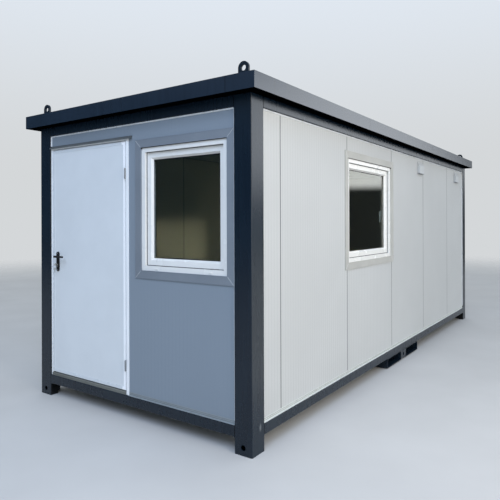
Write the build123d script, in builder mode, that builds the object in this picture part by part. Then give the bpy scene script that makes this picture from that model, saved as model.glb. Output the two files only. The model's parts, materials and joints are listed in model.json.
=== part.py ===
from build123d import *
import os

# Portable site cabin, in millimetres. X runs across the short front, Y along the length, Z up.
# The origin is the centre of the footprint, on the ground under the feet.
# A side is worked in its own terms: along = the side's run as seen from outside (left to right),
# depth = how far a thing lies inwards from the frame's outer face, z = height.

os.makedirs("parts", exist_ok=True)

# Frame
length = 6058.0
width = 2438.0
section_depth = 75.0
post_face = 150.0
post_sheet = 5.0
post_bend_radius = 6.0
ground_clearance = 111.0
bottom_rail_height = 83.0
wall_height = 2200.0
top_rail_height = 151.0
rail_sheet = 4.0
bend_radius = 8.0
foot_hole_diameter = 40.0
foot_hole_height = 55.0
foot_plate = 8.0

# Roof edge, roof sheet, lifting eyes
roof_overhang = 93.0
fascia_height = 113.0
fascia_drop = 82.0
fascia_sheet = 3.0
fascia_cap = 45.0
fascia_cap_lip = 15.0
fascia_joint = 2.0
fascia_joint_pitch = 2070.0
fascia_joint_shift = -165.0
splice_length = 120.0
roof_sheet_thickness = 1.5
roof_rib_height = 25.0
roof_rib_pitch = 250.0
roof_rib_crest = 60.0
roof_rib_slope = 25.0
roof_edge_gap = 6.0
corner_plate_clearance = 3.0
eye_width = 90.0
eye_hole_diameter = 42.0
eye_hole_rise = 113.0
eye_thickness = 15.0
eye_inset = 14.0

# Walls, floor, ceiling
panel_thickness = 60.0
wall_recess = 15.0
panel_pitch = 1150.0
first_panel = 239.0
panel_joint = 2.0
flashing_height = 30.0
flashing_sheet = 1.5
ceiling_thickness = 60.0
infill_gap = 1.0
base_sheet = 2.0
joist_height = 57.0
joist_flange = 30.0
joist_sheet = 3.0
joist_pitch = 575.0
deck_thickness = 22.0

# Fork pockets and the lug between them
pocket_inner_width = 420.0
pocket_ground_gap = 12.0
pocket_sheet = 5.0
pocket_spacing = 586.0
lug_thickness = 10.0
lug_ground_gap = 19.0
lug_hole_diameter = 38.0

# Windows
window_height = 975.0
window_head_margin = 201.5
window_from_door = 83.0
window_from_post = 3.0
bay_gap = 5.0
frame_flange = 15.0
frame_band = 38.0
frame_set_back = 20.0
frame_depth = 70.0
frame_lip = 21.0
rebate_width = 18.0
sash_gap = 3.0
sash_depth = 56.0
sash_band = 45.0
bead_width = 15.0
bead_depth = 21.0
glass_thickness = 24.0
glass_bite = 10.0
glass_edge_gap = 4.0
trim_width = 65.0
trim_proud = 6.0
trim_sheet = 3.0
fit_gap = 0.5

# Door
door_frame_width = 1052.0
door_head_margin = 108.0
door_frame_set_back = 10.0
latch_jamb = 18.0
hinge_jamb = 28.0
head_band = 18.0
latch_gap = 7.0
hinge_gap = 10.0
head_gap = 6.0
foot_gap = 8.0
leaf_thickness = 45.0
leaf_set_back = 12.0
edging_width = 26.0
edging_proud = 2.0
stop_gap = 5.0
stop_overlap = 18.0
threshold_height = 26.0
threshold_set_back = 4.0
sill_bevel = 5.0
drip_rise = 12.0
drip_reach = 20.0
drip_lip = 12.0
drip_overrun = 43.0
drip_sheet = 2.0

# Hinges and door furniture
hinge_from_foot = 202.5
hinge_from_head = 264.0
hinge_length = 87.0
knuckle_radius = 7.0
knuckle_gap = 1.0
hinge_pin_radius = 4.0
hinge_pin_length = 34.0
pin_clearance = 0.25
flag_sheet = 3.0
flag_width = 34.0
hinge_proud = 9.0
plate_width = 40.0
plate_height = 177.0
plate_thickness = 8.0
plate_inset = 74.0
plate_height_up = 1243.5
lever_rise = 45.5
lever_drop_to_lock = 72.0
lever_stand_off = 50.0
lever_reach = 135.0
lever_radius = 8.5
lever_bend = 14.0
lever_seat = 1.0
neck_clearance = 0.3
spindle_radius = 5.0
spindle_hole_radius = 10.0
cylinder_radius = 8.5
cylinder_stem = 10.0
cylinder_height = 33.0
cylinder_proud = 3.0

# Vent covers and inner window handles
vent_width = 190.0
vent_height = 155.0
vent_depth = 28.0
vent_shoulder = 95.0
vent_sheet = 2.0
vent_top_flange = 8.0
vent_insets = (2199.0, 409.0)
vent_head_margin = 36.5
handle_rose_width = 30.0
handle_rose_height = 70.0
handle_rose_thickness = 10.0
handle_length = 120.0
handle_stand_off = 38.0
handle_grip = 16.0

# Levels and half sizes that follow from them
half_w = width / 2
half_l = length / 2
rail_top = ground_clearance + bottom_rail_height
wall_top = rail_top + wall_height
frame_top = wall_top + top_rail_height
fascia_bottom = wall_top + fascia_drop
run_x = width - 2 * post_face
run_y = length - 2 * post_face
wall_inner = wall_recess + panel_thickness
base_level = ground_clearance + rail_sheet
joist_level = base_level + base_sheet
deck_level = joist_level + joist_height
eye_hole_height = frame_top + eye_hole_rise
window_centre_height = wall_top - window_head_margin - window_height / 2

# Each side: middle of its outer face, the way inwards, and the run from left to right seen from outside
sides = {
    "front": (Vector(0, -half_l, 0), Vector(0, 1, 0), Vector(1, 0, 0), run_x),
    "right": (Vector(half_w, 0, 0), Vector(-1, 0, 0), Vector(0, 1, 0), run_y),
    "back": (Vector(0, half_l, 0), Vector(0, -1, 0), Vector(-1, 0, 0), run_x),
    "left": (Vector(-half_w, 0, 0), Vector(1, 0, 0), Vector(0, -1, 0), run_y),
}
corners = {"front_left": (-1, -1), "front_right": (1, -1), "back_left": (-1, 1), "back_right": (1, 1)}


def section_plane(side, along, z=0.0, depth=0.0):
    """Cross-section of a side: local x = depth inwards, local y = height, normal = along the run."""
    middle, inwards, run, _ = sides[side]
    return Plane(origin=middle + run * along + inwards * depth + Vector(0, 0, z), x_dir=inwards, z_dir=run)


def face_plane(side, depth):
    """Elevation of a side at a depth: local x = along the run, local y = height, normal = outwards."""
    middle, inwards, run, _ = sides[side]
    return Plane(origin=middle + inwards * depth, x_dir=run, z_dir=inwards * -1)


def save(piece, label):
    piece.label = label
    export_step(piece, f"parts/{label}.step")


def section(plane, points):
    """Face with the given outline, on a plane."""
    with BuildSketch(plane) as profile:
        Polygon(*points, align=None)
    return profile.sketch


def rectangle_points(left, right, low, high):
    return [(left, low), (right, low), (right, high), (left, high)]


def slab(side, along, depth, z):
    """Slab on a side between two values each of run, depth and height."""
    extrude(section(section_plane(side, along[0]), rectangle_points(*depth, *z)), amount=along[1] - along[0])


# Corner posts: closed L-shaped tubes that run from the ground to the top of the frame. Their outer edges
# are bends, so that a groove shows where a rail butts against a post
def corner_post(x_sign, y_sign):
    leg = post_face
    depth = section_depth
    shape = [(depth, depth), (depth, leg), (0, leg), (0, 0), (leg, 0), (leg, depth)]
    points = [(x_sign * (half_w - u), y_sign * (half_l - v)) for u, v in shape]
    weld_corner = (*points[0], 0)
    with BuildPart() as post:
        with BuildSketch() as outline:
            Polygon(*points, align=None)
            fillet(outline.vertices().sort_by_distance(weld_corner)[1:], post_bend_radius)
        extrude(amount=frame_top)
        with BuildSketch(Plane.XY.offset(foot_plate)):
            Polygon(*points, align=None)
            offset(amount=-post_sheet, mode=Mode.REPLACE)
        extrude(amount=frame_top - foot_plate - post_sheet, mode=Mode.SUBTRACT)
        side = "front" if y_sign < 0 else "back"
        along = (half_w - post_face / 2) * x_sign * (1 if y_sign < 0 else -1)
        with BuildSketch(face_plane(side, 0)):
            with Locations((along, foot_hole_height)):
                Circle(foot_hole_diameter / 2)
        extrude(amount=-post_sheet, mode=Mode.SUBTRACT)
    return post.part


for corner, (x_sign, y_sign) in corners.items():
    save(corner_post(x_sign, y_sign), f"corner_post_{corner}")


# Rails: cold-formed channels, open inwards, between the posts
def rail_between_posts(side, level, height):
    run = sides[side][3]
    depth = section_depth
    sheet = rail_sheet
    with BuildPart() as rail:
        with BuildSketch(section_plane(side, -run / 2, level)):
            with BuildLine():
                FilletPolyline((depth, 0), (0, 0), (0, height), (depth, height), radius=bend_radius)
                Line((depth, height), (depth, height - sheet))
                FilletPolyline(
                    (depth, height - sheet), (sheet, height - sheet), (sheet, sheet), (depth, sheet),
                    radius=bend_radius - sheet,
                )
                Line((depth, sheet), (depth, 0))
            make_face()
        extrude(amount=run)
    return rail.part


for side in sides:
    save(rail_between_posts(side, ground_clearance, bottom_rail_height), f"bottom_rail_{side}")
    save(rail_between_posts(side, wall_top, top_rail_height), f"top_rail_{side}")


# Roof edge: folded fascia with soffit and cap, mitred at the corners. A long side has three lengths of it
fascia_joints = [fascia_joint_shift + way * fascia_joint_pitch / 2 for way in (-1, 1)]


def fascia(side):
    middle, inwards, run, _ = sides[side]
    reach = (half_w if side in ("front", "back") else half_l) + roof_overhang
    sheet = fascia_sheet
    cap_inner = fascia_height - sheet
    with BuildPart() as edge:
        with BuildSketch(section_plane(side, -reach, fascia_bottom, -roof_overhang)):
            Polygon(
                (0, 0), (roof_overhang, 0), (roof_overhang, sheet), (sheet, sheet),
                (sheet, cap_inner), (fascia_cap - sheet, cap_inner),
                (fascia_cap - sheet, fascia_height - fascia_cap_lip),
                (fascia_cap, fascia_height - fascia_cap_lip), (fascia_cap, fascia_height), (0, fascia_height),
                align=None,
            )
        extrude(amount=2 * reach)
        mitre_origin = middle - inwards * roof_overhang + Vector(0, 0, fascia_bottom)
        with BuildSketch(Plane(origin=mitre_origin, x_dir=run, z_dir=(0, 0, 1))):
            Polygon(
                (-reach, 0), (reach, 0),
                (reach - roof_overhang, roof_overhang), (-reach + roof_overhang, roof_overhang),
                align=None,
            )
        extrude(amount=fascia_height, mode=Mode.INTERSECT)
        if side in ("right", "left"):
            for along in fascia_joints:
                start = along - fascia_joint / 2
                with BuildSketch(section_plane(side, start, fascia_bottom, -roof_overhang)):
                    Rectangle(roof_overhang, fascia_height, align=Align.MIN)
                extrude(amount=fascia_joint, mode=Mode.SUBTRACT)
    return edge.part


for side in sides:
    save(fascia(side), f"roof_fascia_{side}")

# Splice plates: angles inside the fascia that join its lengths
with BuildPart() as roof_fascia_splices:
    near = fascia_sheet
    far = 2 * fascia_sheet
    foot_end = roof_overhang - fascia_sheet
    top_end = fascia_height - 2 * fascia_sheet
    for side in ("right", "left"):
        for along in fascia_joints:
            start = along - splice_length / 2
            angle = section(section_plane(side, start, fascia_bottom, -roof_overhang), [
                (near, near), (foot_end, near), (foot_end, far), (far, far), (far, top_end), (near, top_end),
            ])
            extrude(angle, amount=splice_length)
save(roof_fascia_splices.part, "roof_fascia_splices")


# Roof sheet: trapezoidal profile with its ribs across the cabin, notched round the corner plates
def rib_line(sheet_length, z):
    points = [(-sheet_length / 2, z)]
    count = int(sheet_length // roof_rib_pitch)
    start = -(count - 1) * roof_rib_pitch / 2
    half_crest = roof_rib_crest / 2
    half_foot = half_crest + roof_rib_slope
    for index in range(count):
        centre = start + index * roof_rib_pitch
        points += [
            (centre - half_foot, z), (centre - half_crest, z + roof_rib_height),
            (centre + half_crest, z + roof_rib_height), (centre + half_foot, z),
        ]
    points.append((sheet_length / 2, z))
    return points


sheet_half_w = half_w + roof_overhang - fascia_sheet - roof_edge_gap
sheet_half_l = half_l + roof_overhang - fascia_sheet - roof_edge_gap
notch_w = sheet_half_w - (half_w - post_face - corner_plate_clearance)
notch_l = sheet_half_l - (half_l - post_face - corner_plate_clearance)
with BuildPart() as roof_sheet:
    with BuildSketch(Plane(origin=(-sheet_half_w, 0, frame_top), x_dir=(0, 1, 0), z_dir=(1, 0, 0))):
        lower = rib_line(2 * sheet_half_l, 0)
        upper = rib_line(2 * sheet_half_l, roof_sheet_thickness)
        Polygon(*lower, *upper[::-1], align=None)
    extrude(amount=2 * sheet_half_w)
    with BuildSketch(Plane.XY.offset(frame_top)):
        for x_sign, y_sign in corners.values():
            with Locations((x_sign * (sheet_half_w - notch_w / 2), y_sign * (sheet_half_l - notch_l / 2))):
                Rectangle(notch_w, notch_l)
    extrude(amount=roof_rib_height + roof_sheet_thickness, mode=Mode.SUBTRACT)
save(roof_sheet.part, "roof_sheet")


# Lifting eyes: upright plates on the posts, rounded over a shackle hole
def lifting_eye(x_sign, y_sign):
    x_centre = x_sign * (half_w - post_face / 2)
    y_outer = y_sign * (half_l - eye_inset)
    plane = Plane(origin=(x_centre, y_outer, 0), x_dir=(1, 0, 0), z_dir=(0, -1, 0))
    with BuildPart() as eye:
        with BuildSketch(plane):
            with BuildLine():
                Line((-eye_width / 2, frame_top), (eye_width / 2, frame_top))
                Line((eye_width / 2, frame_top), (eye_width / 2, eye_hole_height))
                RadiusArc((eye_width / 2, eye_hole_height), (-eye_width / 2, eye_hole_height), -eye_width / 2)
                Line((-eye_width / 2, eye_hole_height), (-eye_width / 2, frame_top))
            make_face()
            with Locations((0, eye_hole_height)):
                Circle(eye_hole_diameter / 2, mode=Mode.SUBTRACT)
        extrude(amount=eye_thickness * y_sign)
    return eye.part


for corner, (x_sign, y_sign) in corners.items():
    save(lifting_eye(x_sign, y_sign), f"lifting_eye_{corner}")


# Wall panels
def joints_past_windows():
    """Panel edges along the windowed long side, from the front post to the back post."""
    edges = [-run_y / 2, -run_y / 2 + first_panel]
    while edges[-1] + panel_pitch < run_y / 2:
        edges.append(edges[-1] + panel_pitch)
    edges.append(run_y / 2)
    return edges


def joints_from_middle():
    """Panel edges along the closed long side, with a joint at its middle."""
    count = int(run_y / 2 // panel_pitch)
    return [-run_y / 2, *(index * panel_pitch for index in range(-count, count + 1)), run_y / 2]


def panel(side, start, end, low, high):
    """Sandwich panel whose inner edges stay half a joint short of the joint line."""
    run = sides[side][3]
    first = start if start <= -run / 2 else start + panel_joint / 2
    last = end if end >= run / 2 else end - panel_joint / 2
    slab(side, (first, last), (wall_recess, wall_inner), (low, high))


right_edges = joints_past_windows()
bay_start, bay_end = right_edges[2:4]
side_window_width = panel_pitch - 2 * bay_gap - 2 * frame_flange
side_window_centre = (bay_start + bay_end) / 2
hole_low = window_centre_height - window_height / 2 - frame_flange - fit_gap
hole_high = window_centre_height + window_height / 2 + frame_flange + fit_gap

with BuildPart() as right_wall_panels:
    for start, end in zip(right_edges[:-1], right_edges[1:]):
        if start != bay_start:
            panel("right", start, end, rail_top, wall_top)
save(right_wall_panels.part, "right_wall_panels")

with BuildPart() as right_wall_below_window:
    panel("right", bay_start, bay_end, rail_top, hole_low)
save(right_wall_below_window.part, "right_wall_below_window")

with BuildPart() as right_wall_above_window:
    panel("right", bay_start, bay_end, hole_high, wall_top)
save(right_wall_above_window.part, "right_wall_above_window")

with BuildPart() as left_wall_panels:
    left_edges = joints_from_middle()
    for start, end in zip(left_edges[:-1], left_edges[1:]):
        panel("left", start, end, rail_top, wall_top)
save(left_wall_panels.part, "left_wall_panels")

with BuildPart() as back_wall_panels:
    panel("back", -run_x / 2, 0, rail_top, wall_top)
    panel("back", 0, run_x / 2, rail_top, wall_top)
save(back_wall_panels.part, "back_wall_panels")

door_left = -run_x / 2
door_right = door_left + door_frame_width
door_frame_top = wall_top - door_head_margin
front_window_end = run_x / 2 - window_from_post - trim_width
front_window_width = front_window_end - door_right - window_from_door - trim_width
front_window_centre = front_window_end - front_window_width / 2
with BuildPart() as front_wall_above_door:
    panel("front", door_left, door_right, door_frame_top, wall_top)
save(front_wall_above_door.part, "front_wall_above_door")

with BuildPart() as front_wall_beside_door:
    slab("front", (door_right, run_x / 2), (wall_recess, wall_inner), (rail_top, wall_top))
    with BuildSketch(face_plane("front", wall_recess)):
        with Locations((front_window_centre, window_centre_height)):
            hole_margin = frame_flange + fit_gap
            Rectangle(front_window_width + 2 * hole_margin, window_height + 2 * hole_margin)
    extrude(amount=-panel_thickness, mode=Mode.SUBTRACT)
save(front_wall_beside_door.part, "front_wall_beside_door")


# Base flashings: folded sheet on the ledge of the bottom rail and against the foot of the wall
def base_flashing(side, start, end):
    fold = section(section_plane(side, start, rail_top), [
        (0, 0), (wall_recess, 0), (wall_recess, flashing_height),
        (wall_recess - flashing_sheet, flashing_height),
        (wall_recess - flashing_sheet, flashing_sheet), (0, flashing_sheet),
    ])
    extrude(fold, amount=end - start)


with BuildPart() as base_flashings:
    base_flashing("front", door_right + fit_gap, run_x / 2)
    base_flashing("back", -run_x / 2, run_x / 2)
    base_flashing("right", -run_y / 2, run_y / 2)
    base_flashing("left", -run_y / 2, run_y / 2)
save(base_flashings.part, "base_flashings")


# Ceiling, base sheet, joists and deck
def notched_outline(lap, level):
    """Outline that reaches into the rails by lap on all four sides and steps round the corner posts."""
    reach_w = half_w - section_depth + lap
    reach_l = half_l - section_depth + lap
    clear_w = half_w - post_face - infill_gap
    clear_l = half_l - post_face - infill_gap
    inner_w = half_w - section_depth - infill_gap
    inner_l = half_l - section_depth - infill_gap
    with BuildSketch(Plane.XY.offset(level)) as notched:
        Rectangle(2 * reach_w, 2 * clear_l)
        Rectangle(2 * clear_w, 2 * reach_l)
        Rectangle(2 * inner_w, 2 * inner_l)
    return notched.sketch


rail_lap = section_depth - bend_radius
with BuildPart() as ceiling_panel:
    extrude(notched_outline(rail_lap, wall_top + rail_sheet), amount=ceiling_thickness)
save(ceiling_panel.part, "ceiling_panel")

with BuildPart() as floor_base_sheet:
    extrude(notched_outline(rail_lap, base_level), amount=base_sheet)
save(floor_base_sheet.part, "floor_base_sheet")

joist_count = int((run_y - 2 * joist_flange) // joist_pitch) + 1
joist_half_span = half_w - section_depth + rail_lap
with BuildPart() as floor_joists:
    for index in range(joist_count):
        along = (index - (joist_count - 1) / 2) * joist_pitch
        joist_end = (-joist_half_span, along, joist_level)
        with BuildSketch(Plane(origin=joist_end, x_dir=(0, 1, 0), z_dir=(1, 0, 0))):
            Polygon(
                (0, 0), (joist_flange, 0), (joist_flange, joist_sheet), (joist_sheet, joist_sheet),
                (joist_sheet, joist_height - joist_sheet), (joist_flange, joist_height - joist_sheet),
                (joist_flange, joist_height), (0, joist_height), align=None,
            )
        extrude(amount=2 * joist_half_span)
save(floor_joists.part, "floor_joists")

with BuildPart() as floor_deck:
    with BuildSketch(Plane.XY.offset(deck_level)):
        Rectangle(
            2 * (half_w - section_depth - infill_gap), 2 * (half_l - section_depth - infill_gap)
        )
    extrude(amount=deck_thickness)
save(floor_deck.part, "floor_deck")


# Fork pockets: rectangular sleeves under the rails from side to side
def fork_pocket(centre):
    outer_width = pocket_inner_width + 2 * pocket_sheet
    outer_height = ground_clearance - pocket_ground_gap
    with BuildPart() as pocket:
        with BuildSketch(Plane(origin=(-half_w, centre, ground_clearance), x_dir=(0, 1, 0), z_dir=(1, 0, 0))):
            with Locations((0, -outer_height / 2)):
                Rectangle(outer_width, outer_height)
                Rectangle(pocket_inner_width, outer_height - 2 * pocket_sheet, mode=Mode.SUBTRACT)
        extrude(amount=width)
    return pocket.part


save(fork_pocket(-pocket_spacing / 2), "fork_pocket_front")
save(fork_pocket(pocket_spacing / 2), "fork_pocket_back")

lug_width = pocket_spacing - pocket_inner_width - 2 * pocket_sheet
lug_height = ground_clearance - lug_ground_gap
with BuildPart() as middle_lugs:
    for side in ("right", "left"):
        with BuildSketch(face_plane(side, 0)):
            with Locations((0, ground_clearance - lug_height / 2)):
                Rectangle(lug_width, lug_height)
                Circle(lug_hole_diameter / 2, mode=Mode.SUBTRACT)
        extrude(amount=-lug_thickness)
save(middle_lugs.part, "middle_lugs")


# Windows: mitred sections swept round the opening
def mitred_ring(side, centre, opening_width, points):
    """Sweep a closed section round a window. Its points are (depth, distance towards the glass)."""
    with BuildPart() as ring:
        left = centre - opening_width / 2
        right = centre + opening_width / 2
        low = window_centre_height - window_height / 2
        high = window_centre_height + window_height / 2
        with BuildLine(face_plane(side, 0)):
            Polyline((centre, low), (right, low), (right, high), (left, high), (left, low), (centre, low))
        with BuildSketch(section_plane(side, centre, low)):
            Polygon(*points, align=None)
        sweep(transition=Transition.RIGHT)
    return ring.part


frame_back = frame_set_back + frame_depth
sash_face = frame_set_back + frame_lip
sash_back = sash_face + sash_depth
glass_face = sash_face + bead_depth
glass_back = glass_face + glass_thickness
sash_start = frame_band - rebate_width + sash_gap
bead_start = frame_band + sash_band
glass_line = bead_start + bead_width
groove_line = glass_line - glass_bite - glass_edge_gap
trim_face = wall_recess - trim_proud

trim_section = [
    (wall_recess, -trim_width), (trim_face + trim_sheet, -trim_width), (trim_face, -trim_width + trim_sheet),
    (trim_face, 0), (frame_set_back, 0), (frame_set_back, -trim_sheet),
    (trim_face + trim_sheet, -trim_sheet), (trim_face + trim_sheet, -trim_width + trim_sheet),
    (wall_recess, -trim_width + trim_sheet),
]
frame_section = [
    (frame_set_back, -frame_flange), (frame_set_back, frame_band),
    (frame_set_back + frame_lip, frame_band), (frame_set_back + frame_lip, frame_band - rebate_width),
    (frame_back, frame_band - rebate_width), (frame_back, -frame_flange),
]
sash_section = [
    (sash_face, sash_start), (sash_face, bead_start), (glass_face, glass_line), (glass_face, groove_line),
    (glass_back, groove_line), (glass_back, glass_line), (sash_back, bead_start), (sash_back, sash_start),
]


def window(side, name, centre, opening_width):
    save(mitred_ring(side, centre, opening_width, trim_section), f"{name}_window_trim")
    save(mitred_ring(side, centre, opening_width, frame_section), f"{name}_window_frame")
    save(mitred_ring(side, centre, opening_width, sash_section), f"{name}_window_sash")
    with BuildPart() as glass:
        edge = groove_line + glass_edge_gap
        with BuildSketch(face_plane(side, glass_face)):
            with Locations((centre, window_centre_height)):
                Rectangle(opening_width - 2 * edge, window_height - 2 * edge)
        extrude(amount=-glass_thickness)
    save(glass.part, f"{name}_window_glass")
    with BuildPart() as handle:
        along = centre + opening_width / 2 - (sash_start + bead_start) / 2
        with BuildSketch(face_plane(side, sash_back)):
            with Locations((along, window_centre_height)):
                SlotOverall(handle_rose_height, handle_rose_width, rotation=90)
        extrude(amount=-handle_rose_thickness)
        with BuildSketch(face_plane(side, sash_back + handle_rose_thickness)):
            with Locations((along, window_centre_height)):
                Circle(handle_grip / 2)
        extrude(amount=-(handle_stand_off - handle_rose_thickness))
        with BuildSketch(face_plane(side, sash_back + handle_stand_off - handle_grip / 2)):
            with Locations((along, window_centre_height - handle_length / 2 + handle_grip / 2)):
                SlotOverall(handle_length, handle_grip, rotation=90)
        extrude(amount=-handle_grip)
    save(handle.part, f"{name}_window_handle")


window("front", "front", front_window_centre, front_window_width)
window("right", "side", side_window_centre, side_window_width)

# Door frame: two jambs and a head with a stop behind the leaf
leaf_left = door_left + latch_jamb + latch_gap
leaf_right = door_right - hinge_jamb - hinge_gap
leaf_low = rail_top + threshold_height + foot_gap
leaf_high = door_frame_top - head_band - head_gap
leaf_back = leaf_set_back + leaf_thickness
stop_face = leaf_back + stop_gap


def door_frame_layer(left, right, top, front, back):
    """Frame outline with the opening left by the given edges, between two depths."""
    layer = section(face_plane("front", front), [
        (door_left, rail_top), (left, rail_top), (left, top), (right, top), (right, rail_top),
        (door_right, rail_top), (door_right, door_frame_top), (door_left, door_frame_top),
    ])
    extrude(layer, amount=front - back)


with BuildPart() as door_frame:
    door_frame_layer(
        leaf_left - latch_gap, leaf_right + hinge_gap, leaf_high + head_gap, door_frame_set_back, wall_inner
    )
    door_frame_layer(
        leaf_left + stop_overlap, leaf_right - stop_overlap, leaf_high - stop_overlap, stop_face, wall_inner
    )
save(door_frame.part, "door_frame")

with BuildPart() as door_threshold:
    sill_left = leaf_left - latch_gap
    sill_right = leaf_right + hinge_gap
    tread = section(section_plane("front", sill_left, rail_top), [
        (threshold_set_back, 0), (stop_face, 0), (stop_face, threshold_height),
        (threshold_set_back + sill_bevel, threshold_height),
        (threshold_set_back, threshold_height - sill_bevel),
    ])
    extrude(tread, amount=sill_right - sill_left)
    slab(
        "front", (leaf_left + stop_overlap, leaf_right - stop_overlap), (stop_face, wall_inner),
        (rail_top, leaf_low + stop_overlap),
    )
save(door_threshold.part, "door_threshold")

with BuildPart() as door_drip_flashing:
    with BuildSketch(section_plane("front", door_left, door_frame_top + drip_sheet)):
        wall_line = wall_recess
        lip_line = wall_recess - drip_sheet - drip_reach
        Polygon(
            (wall_line, 0), (wall_line, drip_rise + drip_sheet),
            (wall_line - drip_sheet, drip_rise + drip_sheet),
            (wall_line - drip_sheet, drip_sheet), (lip_line, 0), (lip_line, -drip_lip),
            (lip_line + drip_sheet, -drip_lip), (lip_line + drip_sheet, -drip_sheet),
            (wall_line - drip_sheet, 0), align=None,
        )
    extrude(amount=door_frame_width + drip_overrun)
save(door_drip_flashing.part, "door_drip_flashing")

# Door leaf: flat core in a raised edging, bored for the lever and the lock
lever_x = leaf_left + plate_inset
lever_z = plate_height_up + lever_rise
lock_z = lever_z - lever_drop_to_lock


def lock_profile(clearance, mode=Mode.ADD):
    """Round-topped lock cylinder section with its stem below."""
    stem = cylinder_height - cylinder_radius + clearance
    with Locations((lever_x, lock_z)):
        Circle(cylinder_radius + clearance, mode=mode)
        with Locations((0, -stem / 2)):
            Rectangle(cylinder_stem + 2 * clearance, stem, mode=mode)


core_outline = rectangle_points(
    leaf_left + edging_width, leaf_right - edging_width, leaf_low + edging_width, leaf_high - edging_width
)
with BuildPart() as door_leaf:
    with BuildSketch(face_plane("front", leaf_set_back + edging_proud)):
        Polygon(*core_outline, align=None)
    extrude(amount=-(leaf_thickness - 2 * edging_proud))
    with BuildSketch(face_plane("front", leaf_set_back)):
        with Locations((lever_x, lever_z)):
            Circle(spindle_hole_radius)
        lock_profile(neck_clearance)
    extrude(amount=-leaf_thickness, mode=Mode.SUBTRACT)
save(door_leaf.part, "door_leaf")

with BuildPart() as door_leaf_edging:
    with BuildSketch(face_plane("front", leaf_set_back)):
        Polygon(*rectangle_points(leaf_left, leaf_right, leaf_low, leaf_high), align=None)
        Polygon(*core_outline, align=None, mode=Mode.SUBTRACT)
    extrude(amount=-leaf_thickness)
save(door_leaf_edging.part, "door_leaf_edging")

# Lift-off hinges: lower knuckle and pin on the frame, upper knuckle on the leaf
hinge_x = leaf_right + hinge_gap / 2
hinge_depth = leaf_set_back - hinge_proud
half_knuckle = (hinge_length - knuckle_gap) / 2
hinge_heights = (leaf_low + hinge_from_foot, leaf_high - hinge_from_head)


def knuckle_plane(z):
    return Plane(origin=(hinge_x, -half_l + hinge_depth, z), x_dir=(1, 0, 0), z_dir=(0, 0, 1))


with BuildPart() as door_hinge_pins:
    for height in hinge_heights:
        foot = height - hinge_length / 2
        with BuildSketch(knuckle_plane(foot)):
            Circle(knuckle_radius)
            with Locations((hinge_gap / 2 - flag_sheet / 2, flag_width / 2)):
                Rectangle(flag_sheet, flag_width)
        extrude(amount=half_knuckle)
        with BuildSketch(knuckle_plane(foot + half_knuckle)):
            Circle(hinge_pin_radius)
        extrude(amount=hinge_pin_length)
save(door_hinge_pins.part, "door_hinge_pins")

with BuildPart() as door_hinge_knuckles:
    for height in hinge_heights:
        foot = height - hinge_length / 2 + half_knuckle + knuckle_gap
        with BuildSketch(knuckle_plane(foot)):
            Circle(knuckle_radius)
            with Locations((-hinge_gap / 2 + flag_sheet / 2, flag_width / 2)):
                Rectangle(flag_sheet, flag_width)
        extrude(amount=half_knuckle)
        with BuildSketch(knuckle_plane(foot)):
            Circle(hinge_pin_radius + pin_clearance)
        extrude(amount=hinge_pin_length, mode=Mode.SUBTRACT)
save(door_hinge_knuckles.part, "door_hinge_knuckles")


# Door furniture: long plates, lock cylinder, and the lever with its spindle
def handle_plate(front):
    with BuildSketch(face_plane("front", front)) as plate:
        with Locations((lever_x, plate_height_up)):
            SlotOverall(plate_height, plate_width, rotation=90)
        with Locations((lever_x, lever_z)):
            Circle(lever_radius + neck_clearance, mode=Mode.SUBTRACT)
        lock_profile(neck_clearance, Mode.SUBTRACT)
    extrude(plate.sketch, amount=-plate_thickness)


plate_front = leaf_set_back + edging_proud - plate_thickness
plate_back = leaf_back - edging_proud
with BuildPart() as door_handle_plates:
    handle_plate(plate_front)
    handle_plate(plate_back)
save(door_handle_plates.part, "door_handle_plates")

with BuildPart() as door_lock_cylinder:
    with BuildSketch(face_plane("front", plate_front - cylinder_proud)):
        lock_profile(0)
    extrude(amount=-(plate_back + plate_thickness + 2 * cylinder_proud - plate_front))
save(door_lock_cylinder.part, "door_lock_cylinder")


def lever_arm(surface, outwards):
    """Round lever bent from its neck towards the hinges; outwards is -1 in front and 1 behind."""
    start = -half_l + surface
    end = start + outwards * lever_stand_off
    path_plane = Plane(origin=(lever_x, 0, lever_z), x_dir=(1, 0, 0), z_dir=(0, 0, 1))
    with BuildLine(path_plane) as path:
        FilletPolyline((0, start), (0, end), (lever_reach, end), radius=lever_bend)
    neck_plane = Plane(origin=(lever_x, start, lever_z), x_dir=(1, 0, 0), z_dir=(0, outwards, 0))
    with BuildSketch(neck_plane) as neck:
        Circle(lever_radius)
    sweep(neck.sketch, path=path.wires()[0])


with BuildPart() as door_lever:
    lever_arm(plate_front + plate_thickness - lever_seat, -1)
    lever_arm(plate_back + lever_seat, 1)
    with BuildSketch(face_plane("front", plate_front)):
        with Locations((lever_x, lever_z)):
            Circle(spindle_radius)
    extrude(amount=-(plate_back + plate_thickness - plate_front))
save(door_lever.part, "door_lever")


# Vent covers: shallow folded hoods, open below
with BuildPart() as vent_covers:
    low = wall_top - vent_head_margin - vent_height
    for inset in vent_insets:
        centre = run_y / 2 - inset
        with BuildSketch(section_plane("right", centre - vent_width / 2, low)):
            Polygon(
                (wall_recess, vent_height), (wall_recess, 0), (wall_recess - vent_depth, 0),
                (wall_recess - vent_depth, vent_shoulder), align=None,
            )
        extrude(amount=vent_width)
        with BuildSketch(section_plane("right", centre - vent_width / 2 + vent_sheet, low)):
            Polygon(
                (wall_recess - vent_sheet, vent_height - vent_top_flange), (wall_recess - vent_sheet, 0),
                (wall_recess - vent_depth + vent_sheet, 0),
                (wall_recess - vent_depth + vent_sheet, vent_shoulder - vent_sheet), align=None,
            )
        extrude(amount=vent_width - 2 * vent_sheet, mode=Mode.SUBTRACT)
save(vent_covers.part, "vent_covers")
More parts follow.
